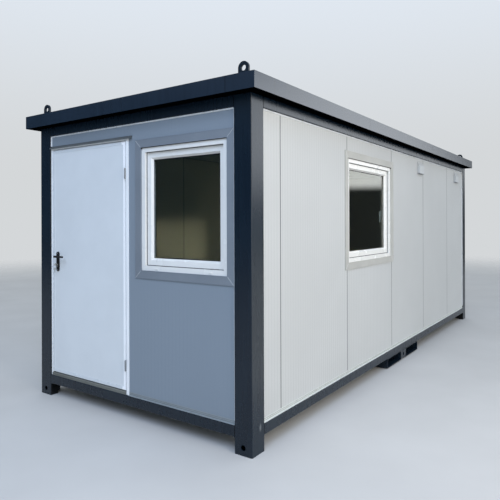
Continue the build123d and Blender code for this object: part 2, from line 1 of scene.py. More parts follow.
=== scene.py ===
# %% [markdown]
# # A portable site cabin
# The cabin's steel frame, walls, windows and door come ready made and to scale. This lesson gives each of
# them the finish it has on the real thing, adds the small parts that are too fine for the frame model, and
# lights it in a plain studio. Everything is in metres: X runs across the front, Y along the cabin, Z is up.

# %% Load the cabin's frame
import json
import math

import bpy
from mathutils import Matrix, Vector


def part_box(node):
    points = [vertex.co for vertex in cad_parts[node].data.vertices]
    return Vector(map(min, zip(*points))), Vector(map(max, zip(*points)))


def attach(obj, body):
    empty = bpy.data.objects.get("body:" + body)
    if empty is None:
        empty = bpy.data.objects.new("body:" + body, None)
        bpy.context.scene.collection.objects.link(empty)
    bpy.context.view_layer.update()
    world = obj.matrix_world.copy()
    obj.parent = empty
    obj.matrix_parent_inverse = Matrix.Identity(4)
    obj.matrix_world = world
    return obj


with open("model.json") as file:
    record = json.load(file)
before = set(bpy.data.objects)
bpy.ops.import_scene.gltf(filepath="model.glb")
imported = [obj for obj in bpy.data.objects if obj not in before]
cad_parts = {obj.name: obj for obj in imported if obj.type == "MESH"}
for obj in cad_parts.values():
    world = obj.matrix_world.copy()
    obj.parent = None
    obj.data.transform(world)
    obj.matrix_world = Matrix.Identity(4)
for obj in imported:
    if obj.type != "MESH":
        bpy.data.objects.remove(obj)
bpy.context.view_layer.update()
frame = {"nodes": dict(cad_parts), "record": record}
nodes = frame["nodes"]

# %% [markdown]
# The picture was taken at eye height, off the cabin's near corner. The camera could be moved by eye until the
# view looks right, but it is surer to work out where the lines of the photo meet for a cabin of this length
# and width, and to stand it there. The lens was not aimed at the middle of the picture that was kept, so a
# small shift moves the frame, and the camera itself stays level.

# %% Camera
PICTURE_SIDE = 500
FOCAL_PIXELS = 512.18
CENTRE_PIXEL = (262.48, 221.83)
SENSOR_MM = 36.0
CAMERA_PLACE = (3.229, -5.839, 1.600)
CAMERA_YAW = 34.344
CAMERA_ROLL = -0.18

bpy.ops.object.select_all(action="DESELECT")
bpy.ops.object.camera_add(location=CAMERA_PLACE, rotation=(math.radians(90), 0, math.radians(CAMERA_YAW)))
camera = bpy.context.object
camera.name = "camera"
camera.rotation_euler.rotate_axis("Z", math.radians(CAMERA_ROLL))
lens = camera.data
lens.sensor_width = SENSOR_MM
lens.lens = FOCAL_PIXELS / PICTURE_SIDE * SENSOR_MM
lens.shift_x = 0.5 - CENTRE_PIXEL[0] / PICTURE_SIDE
lens.shift_y = CENTRE_PIXEL[1] / PICTURE_SIDE - 0.5
bpy.context.scene.camera = camera
print("lens:", round(lens.lens, 2), "mm, shift:", round(lens.shift_x, 4), round(lens.shift_y, 4))

# %% [markdown]
# Paint charts give colours as sRGB hex values, and Blender's shaders want linear numbers. One function turns
# one into the other. A second one fills a node's sockets, with a number or with a link from another node, and
# a third adds a node, fills it and gives its output, so that a material reads from top to bottom like a
# recipe. Most coats have soft clouds of two tones and a fine grain, so these two have a function each.


# %% Colour and node helpers
def colour(code):
    """Linear red, green, blue and alpha of an sRGB hex value such as 3a4248."""
    parts = [int(code[i:i + 2], 16) / 255 for i in (0, 2, 4)]
    return (*[part / 12.92 if part <= 0.04045 else ((part + 0.055) / 1.055) ** 2.4 for part in parts], 1.0)


def fill(node, *values, **named):
    """Fill a node. The values go to the sockets that it shows, in order. A name in small letters is one of
    its own settings, and any other is a socket's, with _ for a space."""
    for name in filter(str.islower, named):
        setattr(node, name, named[name])
    sockets = [*zip([socket for socket in node.inputs if socket.enabled], values)]
    sockets += [(node.inputs[name.replace("_", " ")], named[name]) for name in named if not name.islower()]
    for socket, value in sockets:
        if isinstance(value, bpy.types.NodeSocket):
            node.id_data.links.new(value, socket)
        else:
            socket.default_value = value


def add(tree, kind, *values, give=None, **named):
    """Add a node and fill it. It gives the output of that name, or the first one that the node shows."""
    node = tree.nodes.new("ShaderNode" + kind)
    fill(node, *values, **named)
    return node.outputs[give] if give else next(socket for socket in node.outputs if socket.enabled)


BLEND = {"data_type": "RGBA"}
SMOOTH = {"interpolation_type": "SMOOTHSTEP"}
print("white as linear numbers:", colour("ffffff"))


# %% Material helpers
def per_metre(size_mm):
    """Texture scale at which one blob, cell or wave is size_mm across."""
    return 1000.0 / size_mm


def new_material(name):
    """A material with one shader: gives the material, its node tree, the shader and the place in metres."""
    material = bpy.data.materials.new(name)
    material.use_nodes = True
    tree = material.node_tree
    return material, tree, tree.nodes["Principled BSDF"], add(tree, "TexCoord", give="Object")


def clouded(tree, where, first, second, size_mm, detail, ends=(0.0, 1.0)):
    """Two tones in soft clouds: gives the colour and the share of the second tone."""
    cloud = add(tree, "TexNoise", where, Scale=per_metre(size_mm), Detail=detail)
    share = add(tree, "MapRange", cloud, *ends)
    return add(tree, "Mix", share, colour(first), colour(second), **BLEND), share


def grained(tree, where, grain_mm, depth_mm, detail=2.0):
    """The normals of a skin with a fine grain."""
    grain = add(tree, "TexNoise", where, Scale=per_metre(grain_mm), Detail=detail)
    return add(tree, "Bump", Height=grain, Distance=depth_mm / 1000)


print("a 20 mm pattern has the scale", per_metre(20))

# %% [markdown]
# The studio is a pale floor that fades into a pale backdrop. Two parts of the surroundings are dimmer, as
# outdoors: one behind the camera's left shoulder, which the short front mirrors, and one low on the right,
# which the long side's glass and paint mirror. Above the second a band of low sky glows, brightest beside
# the near corner and fading towards the far end. A photographed sky would need a picture file, so it is
# painted by direction instead.

# %% Floor
FLOOR_SIDE = 44.0
FLOOR_FADE = (9.0, 20.0)

bpy.ops.object.select_all(action="DESELECT")
bpy.ops.mesh.primitive_plane_add(size=FLOOR_SIDE, location=(0, 0, 0))
floor = bpy.context.object
floor.name = "studio_floor"
material, tree, shader, where = new_material("matt_studio_floor")
away = add(tree, "VectorMath", where, operation="LENGTH")
fade = add(tree, "MapRange", away, *FLOOR_FADE, 1.0, 0.0, **SMOOTH)
tone = clouded(tree, where, "b7b6b3", "bebdba", 900, 3.0, (0.3, 0.7))[0]
fill(shader, Base_Color=tone, Alpha=fade, Roughness=0.9, Specular_IOR_Level=0.2)
floor.data.materials.append(material)
print("floor fades out from", FLOOR_FADE[0], "to", FLOOR_FADE[1], "m")

# %% Sky
DIM_WAY = (-0.60, -0.80, 0.0)
DARK_WAY = (0.469, 0.883, 0.0)
LOW_SKY_WAY = (0.643, 0.766, 0.0)
LOW_SKY_EDGE = (0.056, 0.074)
LOW_SKY_TOP = (0.38, 0.24)
LOW_SKY_GLOW = 4.2


def make_sky():
    world = bpy.data.worlds.new("studio_sky")
    bpy.context.scene.world = world
    world.use_nodes = True
    tree = world.node_tree
    way = add(tree, "TexCoord", give="Generated")
    height = add(tree, "SeparateXYZ", way, give="Z")
    to_dim, to_dark, to_low_sky = [add(tree, "VectorMath", way, middle, operation="DOT_PRODUCT")
                                   for middle in (DIM_WAY, DARK_WAY, LOW_SKY_WAY)]
    dim = add(tree, "MapRange", to_dim, 0.2, 0.8, **SMOOTH)
    dark = add(tree, "MapRange", to_dark, 0.84, 0.93, **SMOOTH)
    open_rise = add(tree, "MapRange", height, 0.08, 0.55, **SMOOTH)
    dim_rise = add(tree, "MapRange", height, 0.18, 0.62, **SMOOTH)
    rise = add(tree, "Mix", dim, open_rise, dim_rise, data_type="FLOAT")
    side = add(tree, "Mix", dim, colour("d4d7d9"), colour("3c526a"), **BLEND)
    low = add(tree, "Mix", dark, side, colour("3c4245"), **BLEND)
    background = tree.nodes["Background"]
    fill(background, Color=add(tree, "Mix", rise, low, colour("e4edf8"), **BLEND))

    spread = add(tree, "MapRange", to_low_sky, 0.880, 0.997)
    curve = add(tree, "Math", spread, 0.8, operation="POWER")
    edge = add(tree, "MapRange", height, *LOW_SKY_EDGE, 0.0, LOW_SKY_GLOW, **SMOOTH)
    top = add(tree, "MapRange", height, *LOW_SKY_TOP, **SMOOTH)
    band = add(tree, "Math", edge, top, operation="MULTIPLY")
    glow = add(tree, "Math", band, curve, operation="MULTIPLY")
    low_sky = add(tree, "Background", Color=colour("f3f8fe"), Strength=glow)
    both = add(tree, "AddShader", background.outputs[0], low_sky)
    fill(tree.nodes["World Output"], Surface=both)


make_sky()
print("low sky up to", LOW_SKY_TOP[0], "of the way to the zenith")

# %% [markdown]
# Two soft boxes fill in: a large one beside the near corner, and a cool one high in front. A third lamp
# stands for the daylight that enters by the side window. It is as large as the pane, hangs just inside it and
# fans out little, so a soft bright patch falls on the wall opposite, which shows through the front window.
# The sky alone could light the room, but so small an opening would leave that patch full of noise.

# %% Lamps
SOFT_BOXES = {
    "right_fill": ((6.4, -3.8, 3.2), (1.2, -2.9, 1.2), (3.2, 4.5), 4.3, "fff6ea", 180),
    "high_front": ((4.0, -9.0, 8.5), (0.0, -2.0, 1.0), (7.0, 6.0), 5.6, "bfd8ff", 180),
    "side_window_daylight": ((1.05, -0.93, 1.685), (-1.144, -1.243, 1.175), (0.90, 0.78), 0.38, "fff4dc", 10),
}


def soft_box(name, place, target, size, radiance, tint, spread):
    """A rectangular lamp as bright as radiance, where 1 is a white sheet, fanning out by spread degrees."""
    bpy.ops.object.select_all(action="DESELECT")
    bpy.ops.object.light_add(type="AREA", location=place)
    lamp = bpy.context.object
    lamp.name = name
    lamp.data.shape = "RECTANGLE"
    lamp.data.size, lamp.data.size_y = size
    lamp.data.energy = radiance * math.pi * size[0] * size[1]
    lamp.data.color = colour(tint)[:3]
    lamp.data.spread = math.radians(spread)
    lamp.visible_camera = False
    lamp.rotation_euler = (Vector(target) - Vector(place)).to_track_quat("-Z", "Y").to_euler()


for name, settings in SOFT_BOXES.items():
    soft_box(name, *settings)
bpy.context.scene.view_settings.view_transform = "Standard"
print("lamps:", list(SOFT_BOXES))

# %% [markdown]
# ## Finishes
# The frame is cold-formed steel, sprayed at the works with anthracite paint. The paint levels out with a
# faint orange peel and is shiny enough to show the sky at a glancing angle. Rain leaves upright streaks on
# it, a little splashed dust settles on the lowest half metre, and something has scuffed the near post's foot.
# On faces of the frame that look towards +X the paint turns paler grey below eye height: partly a film of
# dried dust, partly painted sheen for the glancing light those faces mirror. The patterns read each
# piece's own place in metres, so that streaks run from piece to piece as they do on the cabin.
# The roof edge is coated on the strip. Below its lower rim the shader paints shade: even a rough paint
# brightens at a glancing angle, so there the skin is black and turns to a metal with a black tint, which
# mirrors nothing at all, for the deep shade under the overhang.

# %% Anthracite paint on steel
FASCIA_BOTTOM = 2.476
POST_EDGES = (1.069, 2.879, 50.0)
SCUFF_PLACE = (1.219, -2.930, 0.180)
SHEEN_FILM_ENDS = (0.15, 1.7)
SHEEN_FILM_FADE = 0.5


def anthracite_paint(name, base, shade, roughness, ior, shade_below=0.0):
    material, tree, shader, where = new_material(name)
    height = add(tree, "SeparateXYZ", where, give="Z")
    cloud = add(tree, "TexNoise", where, Scale=per_metre(450), Detail=3.0)
    stretched = add(tree, "Mapping", where, Scale=(1.0, 1.0, 0.06))
    streak = add(tree, "TexNoise", stretched, Scale=per_metre(28), Detail=3.0)
    tone = add(tree, "MapRange", add(tree, "Math", cloud, streak, operation="ADD"), 0.75, 1.25)
    paint = add(tree, "Mix", tone, colour(base), colour(shade), **BLEND)

    low = add(tree, "MapRange", height, 0.45, 0.0, **SMOOTH)
    splash = add(tree, "TexNoise", where, Scale=per_metre(18), Detail=6.0, Roughness=0.7)
    spots = add(tree, "MapRange", splash, 0.5, 0.75, 0.0, 0.14)
    dust = add(tree, "Math", low, spots, operation="MULTIPLY")
    dusted = add(tree, "Mix", dust, paint, colour("4a4a47"), **BLEND)

    # Partly dust, partly painted sheen: faces that look towards +X turn paler grey below eye height.
    outwards = add(tree, "SeparateXYZ", add(tree, "TexCoord", give="Normal"), give="X")
    on_long_side = add(tree, "MapRange", outwards, 0.6, 0.9, 0.0, 0.085)
    under = add(tree, "MapRange", height, SHEEN_FILM_ENDS[1], SHEEN_FILM_ENDS[1] - SHEEN_FILM_FADE, **SMOOTH)
    over = add(tree, "MapRange", height, SHEEN_FILM_ENDS[0], SHEEN_FILM_ENDS[0] + SHEEN_FILM_FADE, **SMOOTH)
    between = add(tree, "Math", under, over, operation="MULTIPLY")
    film = add(tree, "Math", between, on_long_side, operation="MULTIPLY")
    with_dust_and_sheen = add(tree, "Mix", film, dusted, colour("8c8c86"), **BLEND)

    from_scuff = add(tree, "VectorMath", where, SCUFF_PLACE, operation="SUBTRACT")
    squeezed = add(tree, "VectorMath", from_scuff, (1.0, 1.6, 0.6), operation="MULTIPLY")
    reach = add(tree, "VectorMath", squeezed, operation="LENGTH")
    rub = add(tree, "Math", splash, 0.03, reach, operation="MULTIPLY_ADD")
    bare = add(tree, "MapRange", rub, 0.036, 0.020, 0.0, 0.4)
    scuffed = add(tree, "Mix", bare, with_dust_and_sheen, colour("8b9092"), **BLEND)

    away = add(tree, "VectorMath", where, operation="ABSOLUTE")
    off_edge = add(tree, "VectorMath", away, POST_EDGES, operation="SUBTRACT")
    gaps = add(tree, "SeparateXYZ", add(tree, "VectorMath", off_edge, operation="ABSOLUTE")).node.outputs
    nearest = add(tree, "Math", gaps[0], gaps[1], operation="MINIMUM")
    seam = add(tree, "MapRange", nearest, 0.0012, 0.003)
    seamed = add(tree, "Mix", seam, colour("07090b"), scuffed, **BLEND)

    # Painted shade: below the given height, on the roof edge's underside, the skin is black and a metal with
    # a black tint, for the deep shade under the overhang.
    painted = add(tree, "Math", height, shade_below, operation="GREATER_THAN")
    sheet = add(tree, "Mix", painted, colour("050608"), seamed, **BLEND)
    painted_shade = add(tree, "Math", 1.0, painted, operation="SUBTRACT")
    tint = add(tree, "Mix", painted, colour("000000"), colour("ffffff"), **BLEND)
    gloss = add(tree, "MapRange", tone, To_Min=roughness - 0.01, To_Max=roughness + 0.015)
    dull = add(tree, "Math", dust, 0.6, gloss, operation="MULTIPLY_ADD")
    matt = add(tree, "MapRange", painted, To_Min=1.0, To_Max=dull)
    peel = grained(tree, where, 6, 0.06, 1.0)
    fill(shader, Base_Color=sheet, Metallic=painted_shade, Specular_Tint=tint, Roughness=matt, IOR=ior, Normal=peel)
    return material


finishes = {
    "frame_coating": anthracite_paint("sprayed_anthracite_paint", "0c1823", "101d28", 0.27, 1.42),
    "roof_edge_coating": anthracite_paint("baked_anthracite_strip_coat", "1b2530", "1f2a36", 0.16, 1.5,
                                          FASCIA_BOTTOM + 0.001),
}
print("anthracite:", [material.name for material in finishes.values()])

# %% [markdown]
# The wall panels are two steel skins with foam between them. The outer skin has a silver-grey lacquer that is
# baked on the strip before the rollers shape it. Fine metal flakes in the lacquer mirror whatever the wall
# faces, so it is pale against a bright sky and a deep grey in the shade, which a plain grey paint would not
# do. A studio is more even than the open air, so the short walls' tone is set deeper to keep that step, as
# painted shade. The rollers press shallow upright lines into the skin and fold its edges over at each joint,
# and the foam pulls it very slightly out of flat. The lines show on the long walls alone. The inner skin is a
# creamy white, with the same lines and joints. Lines this shallow are drawn: a sine wave bends the light, and
# a darker tone along each line is painted shade of the shallow rib.

# %% Silver lacquer on rolled steel
LINE_PITCH_MM = 38.0
LINER = (1.150, 2.960)


def silver_lacquer(name, tones, line_depth, first_joint, pitch, run):
    """Lacquered skin whose panel joints repeat along the run, which is 0 for X and 1 for Y."""
    material, tree, shader, where = new_material(name)
    axis = add(tree, "SeparateXYZ", where).node.outputs
    cloud = add(tree, "TexNoise", where, Scale=per_metre(800), Detail=2.0)
    flake = add(tree, "TexNoise", where, Scale=per_metre(5), Detail=2.0)
    tone = add(tree, "MapRange", add(tree, "Math", flake, 0.35, cloud, operation="MULTIPLY_ADD"), 0.5, 0.85)
    lacquer = add(tree, "Mix", tone, colour(tones[1]), colour(tones[0]), **BLEND)

    turns = add(tree, "Math", axis[run], math.tau * per_metre(LINE_PITCH_MM), operation="MULTIPLY")
    wave = add(tree, "Math", turns, operation="SINE")
    line = add(tree, "MapRange", wave, 0.35, 0.95, 1.0, 0.0, **SMOOTH)
    # Painted shade of the ribs: the tone turns darker along each line, outside and inside.
    outer = add(tree, "Mix", line, colour(tones[2]), lacquer, **BLEND)
    inner = add(tree, "Mix", line, colour("d2cbb7"), colour("ddd6c2"), **BLEND)

    deep = [add(tree, "Math", axis[i], operation="ABSOLUTE") for i in (0, 1)]
    inside = [add(tree, "Math", deep[i], LINER[i], operation="LESS_THAN") for i in (0, 1)]
    liner = add(tree, "Math", *inside, operation="MULTIPLY")
    skin = add(tree, "Mix", liner, outer, inner, **BLEND)
    metal = add(tree, "MapRange", liner, To_Min=0.60, To_Max=0.0)

    from_first = add(tree, "Math", axis[run], first_joint, operation="SUBTRACT")
    from_joint = add(tree, "Math", from_first, pitch / 2, operation="PINGPONG")
    groove = add(tree, "MapRange", from_joint, 0.002, 0.006, **SMOOTH)
    jointed = add(tree, "Mix", groove, colour("5a5e60"), skin, **BLEND)

    lined = add(tree, "Bump", Height=line, Distance=line_depth)
    folded = add(tree, "Bump", Height=groove, Distance=0.002, Normal=lined)
    pulled = add(tree, "Bump", Height=cloud, Distance=0.004, Normal=folded)
    fill(shader, Base_Color=jointed, Metallic=metal, Roughness=0.74, Normal=pulled)
    return material


print("wall lines every", LINE_PITCH_MM, "mm")

# %% Wall skins
PANEL_PITCH = 1.150
RIGHT_FIRST_JOINT = -2.640
LEFT_FIRST_JOINT = -2.300
END_PITCH = 4.0
NO_JOINT = 50.0
LIT = (("cbccca", "c5c6c4", "c2c3c1"), 0.00006)
SHADED = (("98a3ad", "949fa9", "96a1ab"), 0.0)
node_finishes = {
    "right_wall": silver_lacquer("silver_grey_strip_lacquer_right", *LIT, RIGHT_FIRST_JOINT, PANEL_PITCH, 1),
    "left_wall": silver_lacquer("silver_grey_strip_lacquer_left", *LIT, LEFT_FIRST_JOINT, PANEL_PITCH, 1),
    "front_wall": silver_lacquer("silver_grey_strip_lacquer_ends", *SHADED, NO_JOINT, END_PITCH, 0),
    "back_wall": silver_lacquer("silver_grey_strip_lacquer_back", *SHADED, 0.0, END_PITCH, 0),
}
print("panel joints every", PANEL_PITCH, "m")

# %% [markdown]
# Galvanised steel is dipped in zinc, which freezes in flat crystals. Each crystal mirrors the light a little
# differently, so the sheet looks like frost flowers some 10 to 20 mm across. They are cells of a Voronoi
# texture that change the metal's tone and roughness, because only its cells have such straight edges.


# %% Galvanised steel
def galvanised(name, crystal_mm, dark, pale):
    material, tree, shader, where = new_material(name)
    crystal = add(tree, "TexVoronoi", where, give="Color", Scale=per_metre(crystal_mm), Randomness=1.0)
    pick = add(tree, "SeparateColor", crystal)
    stain = add(tree, "TexNoise", where, Scale=per_metre(350), Detail=4.0)
    share = add(tree, "MapRange", add(tree, "Math", pick, 0.5, stain, operation="MULTIPLY_ADD"), 0.4, 1.1)
    zinc = add(tree, "Mix", share, colour(dark), colour(pale), **BLEND)
    rough = add(tree, "MapRange", pick, To_Min=0.36, To_Max=0.5)
    fill(shader, Base_Color=zinc, Metallic=0.9, Roughness=rough)
    return material


finishes["galvanised_sheet"] = galvanised("hot_dip_galvanised_steel", 14.0, "8f9598", "b4b9bb")
print("zinc:", finishes["galvanised_sheet"].name)

# %% [markdown]
# The plain coats are all one recipe with other numbers: a base colour, a paler or darker cloud in it, a
# roughness, and a fine grain in the skin. Powder coat has a coarse grain of about 2 mm and a satin shine,
# strip-coated sheet a fine one, and extruded plastic almost none, so it is the glossiest white. Moulded nylon
# has the spark-eroded grain of its mould and is nearly matt. The metals differ in what they mirror: trodden
# aluminium is dull, zinc plating is a cool silk grey, and nickel-plated brass is bright and a little warm.


# %% Coats, plastics and plated metals
def coat(name, base, shade, roughness, grain_mm, grain_depth_mm, ior=1.5, metallic=0.0):
    material, tree, shader, where = new_material(name)
    paint, share = clouded(tree, where, base, shade, 260, 4.0, (0.35, 0.65))
    gloss = add(tree, "MapRange", share, To_Min=roughness - 0.02, To_Max=roughness + 0.03)
    skin = grained(tree, where, grain_mm, grain_depth_mm)
    fill(shader, Base_Color=paint, Roughness=gloss, Metallic=metallic, IOR=ior, Normal=skin)
    return material


finishes |= {
    "ceiling_coating": coat("white_strip_lacquer", "e6e6e2", "e0e0dc", 0.45, 3.0, 0.02),
    "window_trim": coat("grey_coated_steel_trim", "c0bfb9", "b9b8b2", 0.65, 3.0, 0.02, metallic=0.6),
    "window_plastic": coat("white_extruded_pvc", "e6e5e0", "e2e1dc", 0.26, 8.0, 0.01, ior=1.53),
    "door_frame_coating": coat("white_powder_coated_steel", "f4f6f6", "eff1f1", 0.36, 2.5, 0.04),
    "door_coating": coat("white_strip_coated_door_skin", "dadedf", "d6dadb", 0.36, 5.0, 0.02),
    "threshold": coat("trodden_mill_finish_aluminium", "7a7c76", "6c6d67", 0.5, 2.0, 0.03, metallic=0.5),
    "hinge_steel": coat("zinc_plated_hinge_steel", "a2a6a9", "93979a", 0.35, 2.0, 0.02, metallic=0.9),
    "handle_plastic": coat("black_moulded_nylon", "050506", "070708", 0.6, 1.2, 0.03, ior=1.35),
    "lock_steel": coat("nickel_plated_brass", "bdbab2", "b1aea6", 0.25, 2.0, 0.01, metallic=1.0),
}
# Painted shade: the front window's trim takes a deeper copy of the trim's grey.
shaded_trim = coat("grey_coated_steel_trim_front", "9098a0", "8a929a", 0.65, 3.0, 0.02, metallic=0.6)
drip_steel = coat("dark_grey_coated_steel_drip", "5f6363", "565a5a", 0.45, 3.0, 0.02)
node_finishes |= {"front_window_trim": shaded_trim, "door_drip_flashing": drip_steel}
print("finishes so far:", len(finishes))

# %% [markdown]
# The leaf is framed by a narrow aluminium strip, painted white before it was pressed on. Beside the hinges
# it shows white, and at the latch side, the head and the foot it takes the tone of the skin: that step is
# painted light and shade. One coat is mixed into the other across the leaf's width, which keeps the strip
# one piece with one paint.

# %% Door edging
HINGE_SIDE_LIGHT_STRIP = (0.048, 0.038)
HINGE_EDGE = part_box("door_leaf_edging")[1][0]


def edging_paint(name, white, shaded_tone):
    material = coat(name, *white, 0.28, 3.0, 0.02)
    tree = material.node_tree
    shader = tree.nodes["Principled BSDF"]
    white_coat = shader.inputs["Base Color"].links[0].from_socket
    across = add(tree, "SeparateXYZ", add(tree, "TexCoord", give="Object"), give="X")
    # Painted light and shade: white within a strip beside the hinges, the skin's tone elsewhere.
    hinge_side_light = add(tree, "MapRange", across, *[HINGE_EDGE - reach for reach in HINGE_SIDE_LIGHT_STRIP])
    fill(shader, Base_Color=add(tree, "Mix", hinge_side_light, colour(shaded_tone), white_coat, **BLEND))
    return material


finishes["door_edging"] = edging_paint("white_painted_aluminium_edging", ("fcfdfd", "f8f9f9"), "d3d8da")
print("edging stays white within", HINGE_SIDE_LIGHT_STRIP[0], "m of x =", round(HINGE_EDGE, 3))

# %% [markdown]
# The vent hoods are moulded from weatherproof plastic in the wall's grey. The lowest centimetre of each hood
# is painted darker, as painted shade along its lip. The hoods hang at one height, so the lip is picked by
# height.

# %% Vent hoods
HOOD_LIP_SHADE = (2.209, 2.216)


def hood_plastic(name, base, shade, lip_shade_tone):
    material, tree, shader, where = new_material(name)
    # Painted shade: the lowest centimetre of each hood turns darker.
    lip = add(tree, "MapRange", add(tree, "SeparateXYZ", where, give="Z"), *HOOD_LIP_SHADE, **SMOOTH)
    lip_shaded = add(tree, "Mix", lip, colour(lip_shade_tone), clouded(tree, where, base, shade, 40, 4.0)[0], **BLEND)
    fill(shader, Base_Color=lip_shaded, Roughness=0.45, Normal=grained(tree, where, 1.5, 0.03))
    return material


node_finishes["vent_covers"] = hood_plastic("grey_moulded_asa_hood", "bbbebe", "b5b8b8", "a0a3a4")
print("hood lip:", HOOD_LIP_SHADE, "m")

# %% [markdown]
# The flashing at the foot of each wall is a 30 mm strip of the walls' own steel, rolled with two shallow
# beads that stiffen it. They show as two darker lines, which are painted shade, over a light cloud of dust.
# They are drawn by height, and a little wider than they are, since they would be too fine to see at this
# distance.

# %% Base flashing
BEAD_HEIGHTS = (0.2145, 0.2035)
BEAD_HALF_WIDTH = 0.0016
LONG_WALL_X = 1.180


def beaded_flashing(name, lit, shaded):
    material, tree, shader, where = new_material(name)
    axis = add(tree, "SeparateXYZ", where).node.outputs
    out = add(tree, "Math", axis[0], operation="ABSOLUTE")
    # Painted shade: the short walls' strip takes a deeper tone than the long walls' lit one.
    long_wall = add(tree, "Math", out, LONG_WALL_X, operation="GREATER_THAN")
    strip = add(tree, "Mix", long_wall, colour(shaded), colour(lit), **BLEND)
    dirt = add(tree, "TexNoise", where, Scale=per_metre(60), Detail=5.0)
    # Painted shade along the beads: two darker lines by height, over a cloud of dust.
    each = [add(tree, "Math", axis[2], level, BEAD_HALF_WIDTH, operation="COMPARE") for level in BEAD_HEIGHTS]
    beads = add(tree, "Math", *each, operation="ADD")
    bead_shade = add(tree, "Math", beads, 0.45, -0.05, operation="MULTIPLY_ADD")
    share = add(tree, "Math", dirt, 0.25, bead_shade, operation="MULTIPLY_ADD", use_clamp=True)
    dust_and_bead_shade = add(tree, "Mix", share, strip, colour("57564f"), **BLEND)
    pressed = add(tree, "Bump", invert=True, Height=beads, Distance=0.0012)
    fill(shader, Base_Color=dust_and_bead_shade, Metallic=0.6, Roughness=0.7, Normal=pressed)
    return material


finishes["flashing"] = beaded_flashing("beaded_steel_base_flashing", "d6d9d5", "a0a8ac")
print("flashing beads at", BEAD_HEIGHTS, "m")

# %% [markdown]
# The floor sheet is calendered PVC with grey chips pressed into it, each a few millimetres across, so that it
# hides dirt. One Voronoi texture draws the chips: each cell has its own random colour, whose red picks the
# pale chips and whose green picks the dark ones.


# %% Floor sheet
def chip_sheet(name):
    material, tree, shader, where = new_material(name)
    chips = add(tree, "TexVoronoi", where, give="Color", Scale=per_metre(7), Randomness=1.0)
    pick = add(tree, "SeparateColor", chips).node.outputs
    pale = add(tree, "Math", pick[0], 0.82, operation="GREATER_THAN")
    dark = add(tree, "Math", pick[1], 0.86, operation="GREATER_THAN")
    ground = add(tree, "Mix", pale, colour("73746f"), colour("979891"), **BLEND)
    sheet = add(tree, "Mix", dark, ground, colour("4e4f4c"), **BLEND)
    fill(shader, Base_Color=sheet, Roughness=0.5, IOR=1.53, Normal=grained(tree, where, 3, 0.1))
    return material


finishes["floor_deck"] = chip_sheet("chip_patterned_pvc_sheet")
print("floor:", finishes["floor_deck"].name)

# %% [markdown]
# The windows are sealed double glazing of float glass. It is clear, with the faint green that iron gives it
# and a thin film of dust, and it mirrors a little of what it faces. Little daylight reaches the room behind
# it, so it looks dark from outside. It is real transmission, not a painted black, so the room shows through.


# %% Glass
def float_glass(name):
    material, tree, shader, where = new_material(name)
    film = add(tree, "TexNoise", where, Scale=per_metre(60), Detail=5.0)
    dust = add(tree, "MapRange", film, 0.45, 0.8, 0.0, 0.02)
    fill(shader, Base_Color=colour("b4bcb2"), Specular_Tint=colour("fff0cf"), Roughness=dust, IOR=1.52,
         Transmission_Weight=1.0)
    return material


finishes["glass"] = float_glass("sealed_float_glass")
print("glass:", finishes["glass"].name)

# %% [markdown]
# Every node of the frame takes the finish that its record names. The walls are told apart by the side they
# are on, because their panel joints lie at other places. The panes cast no shadow, since Blender would
# otherwise treat clear glass as dark to a lamp and leave the room black.

# %% Give the frame its finishes
for part in frame["record"]["subparts"]:
    own = [finish for start, finish in node_finishes.items() if part["node"].startswith(start)]
    materials = nodes[part["node"]].data.materials
    materials.clear()
    materials.append(own[0] if own else finishes[part["material_slot"]])
for name in ("front_window_glass", "side_window_glass"):
    nodes[name].visible_shadow = False

# %% [markdown]
# ## Small parts
# Each small part is modelled as by hand: a primitive is added at its size and place, some of its faces or
# edges are picked by where they lie, and edit-mode operators shape it. A part that belongs to a wall is
# modelled as if that wall were in front of you, with X along the wall from left to right, Y into it and Z up,
# and the last step turns and moves it to its side of the cabin. That way one recipe serves all four sides.

# %% Starting, picking and copying
import bmesh


def only(piece):
    """Select one piece alone and make it active."""
    bpy.ops.object.select_all(action="DESELECT")
    piece.select_set(True)
    bpy.context.view_layer.objects.active = piece


def settle(piece):
    """Put the piece's place, turn and scale into its mesh."""
    only(piece)
    bpy.ops.object.transform_apply(location=True, rotation=True, scale=True)


def start(name, primitive, scale=(1, 1, 1), **settings):
    """A new primitive, alone and selected, with its place in its mesh."""
    bpy.ops.object.select_all(action="DESELECT")
    primitive(**settings)
    piece = bpy.context.object
    piece.name = name
    piece.scale = scale
    settle(piece)
    return piece


def start_box(name, low, high):
    """A box between two corners."""
    size = [b - a for a, b in zip(low, high)]
    middle = [(a + b) / 2 for a, b in zip(low, high)]
    return start(name, bpy.ops.mesh.primitive_cube_add, size, size=1.0, location=middle)


OUT_OF_WALL = (math.pi / 2, 0, 0)
ALONG_WALL = (0, math.pi / 2, 0)
UPRIGHT = (0, 0, 0)


def start_disc(name, middle, radius, thickness, corners, axis=OUT_OF_WALL):
    """A short cylinder whose round faces look along its axis."""
    return start(name, bpy.ops.mesh.primitive_cylinder_add, vertices=corners, radius=radius, depth=thickness,
                 location=middle, rotation=axis)


def enter_edit(piece, kind, action):
    """Go into edit mode for faces or edges, with all or none selected."""
    bpy.context.view_layer.objects.active = piece
    bpy.ops.object.mode_set(mode="EDIT")
    bpy.ops.mesh.select_mode(type=kind)
    bpy.ops.mesh.select_all(action=action)


def leave_edit():
    bpy.ops.object.mode_set(mode="OBJECT")


def pick_faces(piece, test):
    """Go into edit mode with only those faces selected whose normal passes the test."""
    enter_edit(piece, "FACE", "DESELECT")
    for face in bmesh.from_edit_mesh(piece.data).faces:
        face.select_set(test(face.normal))
    bmesh.update_edit_mesh(piece.data)


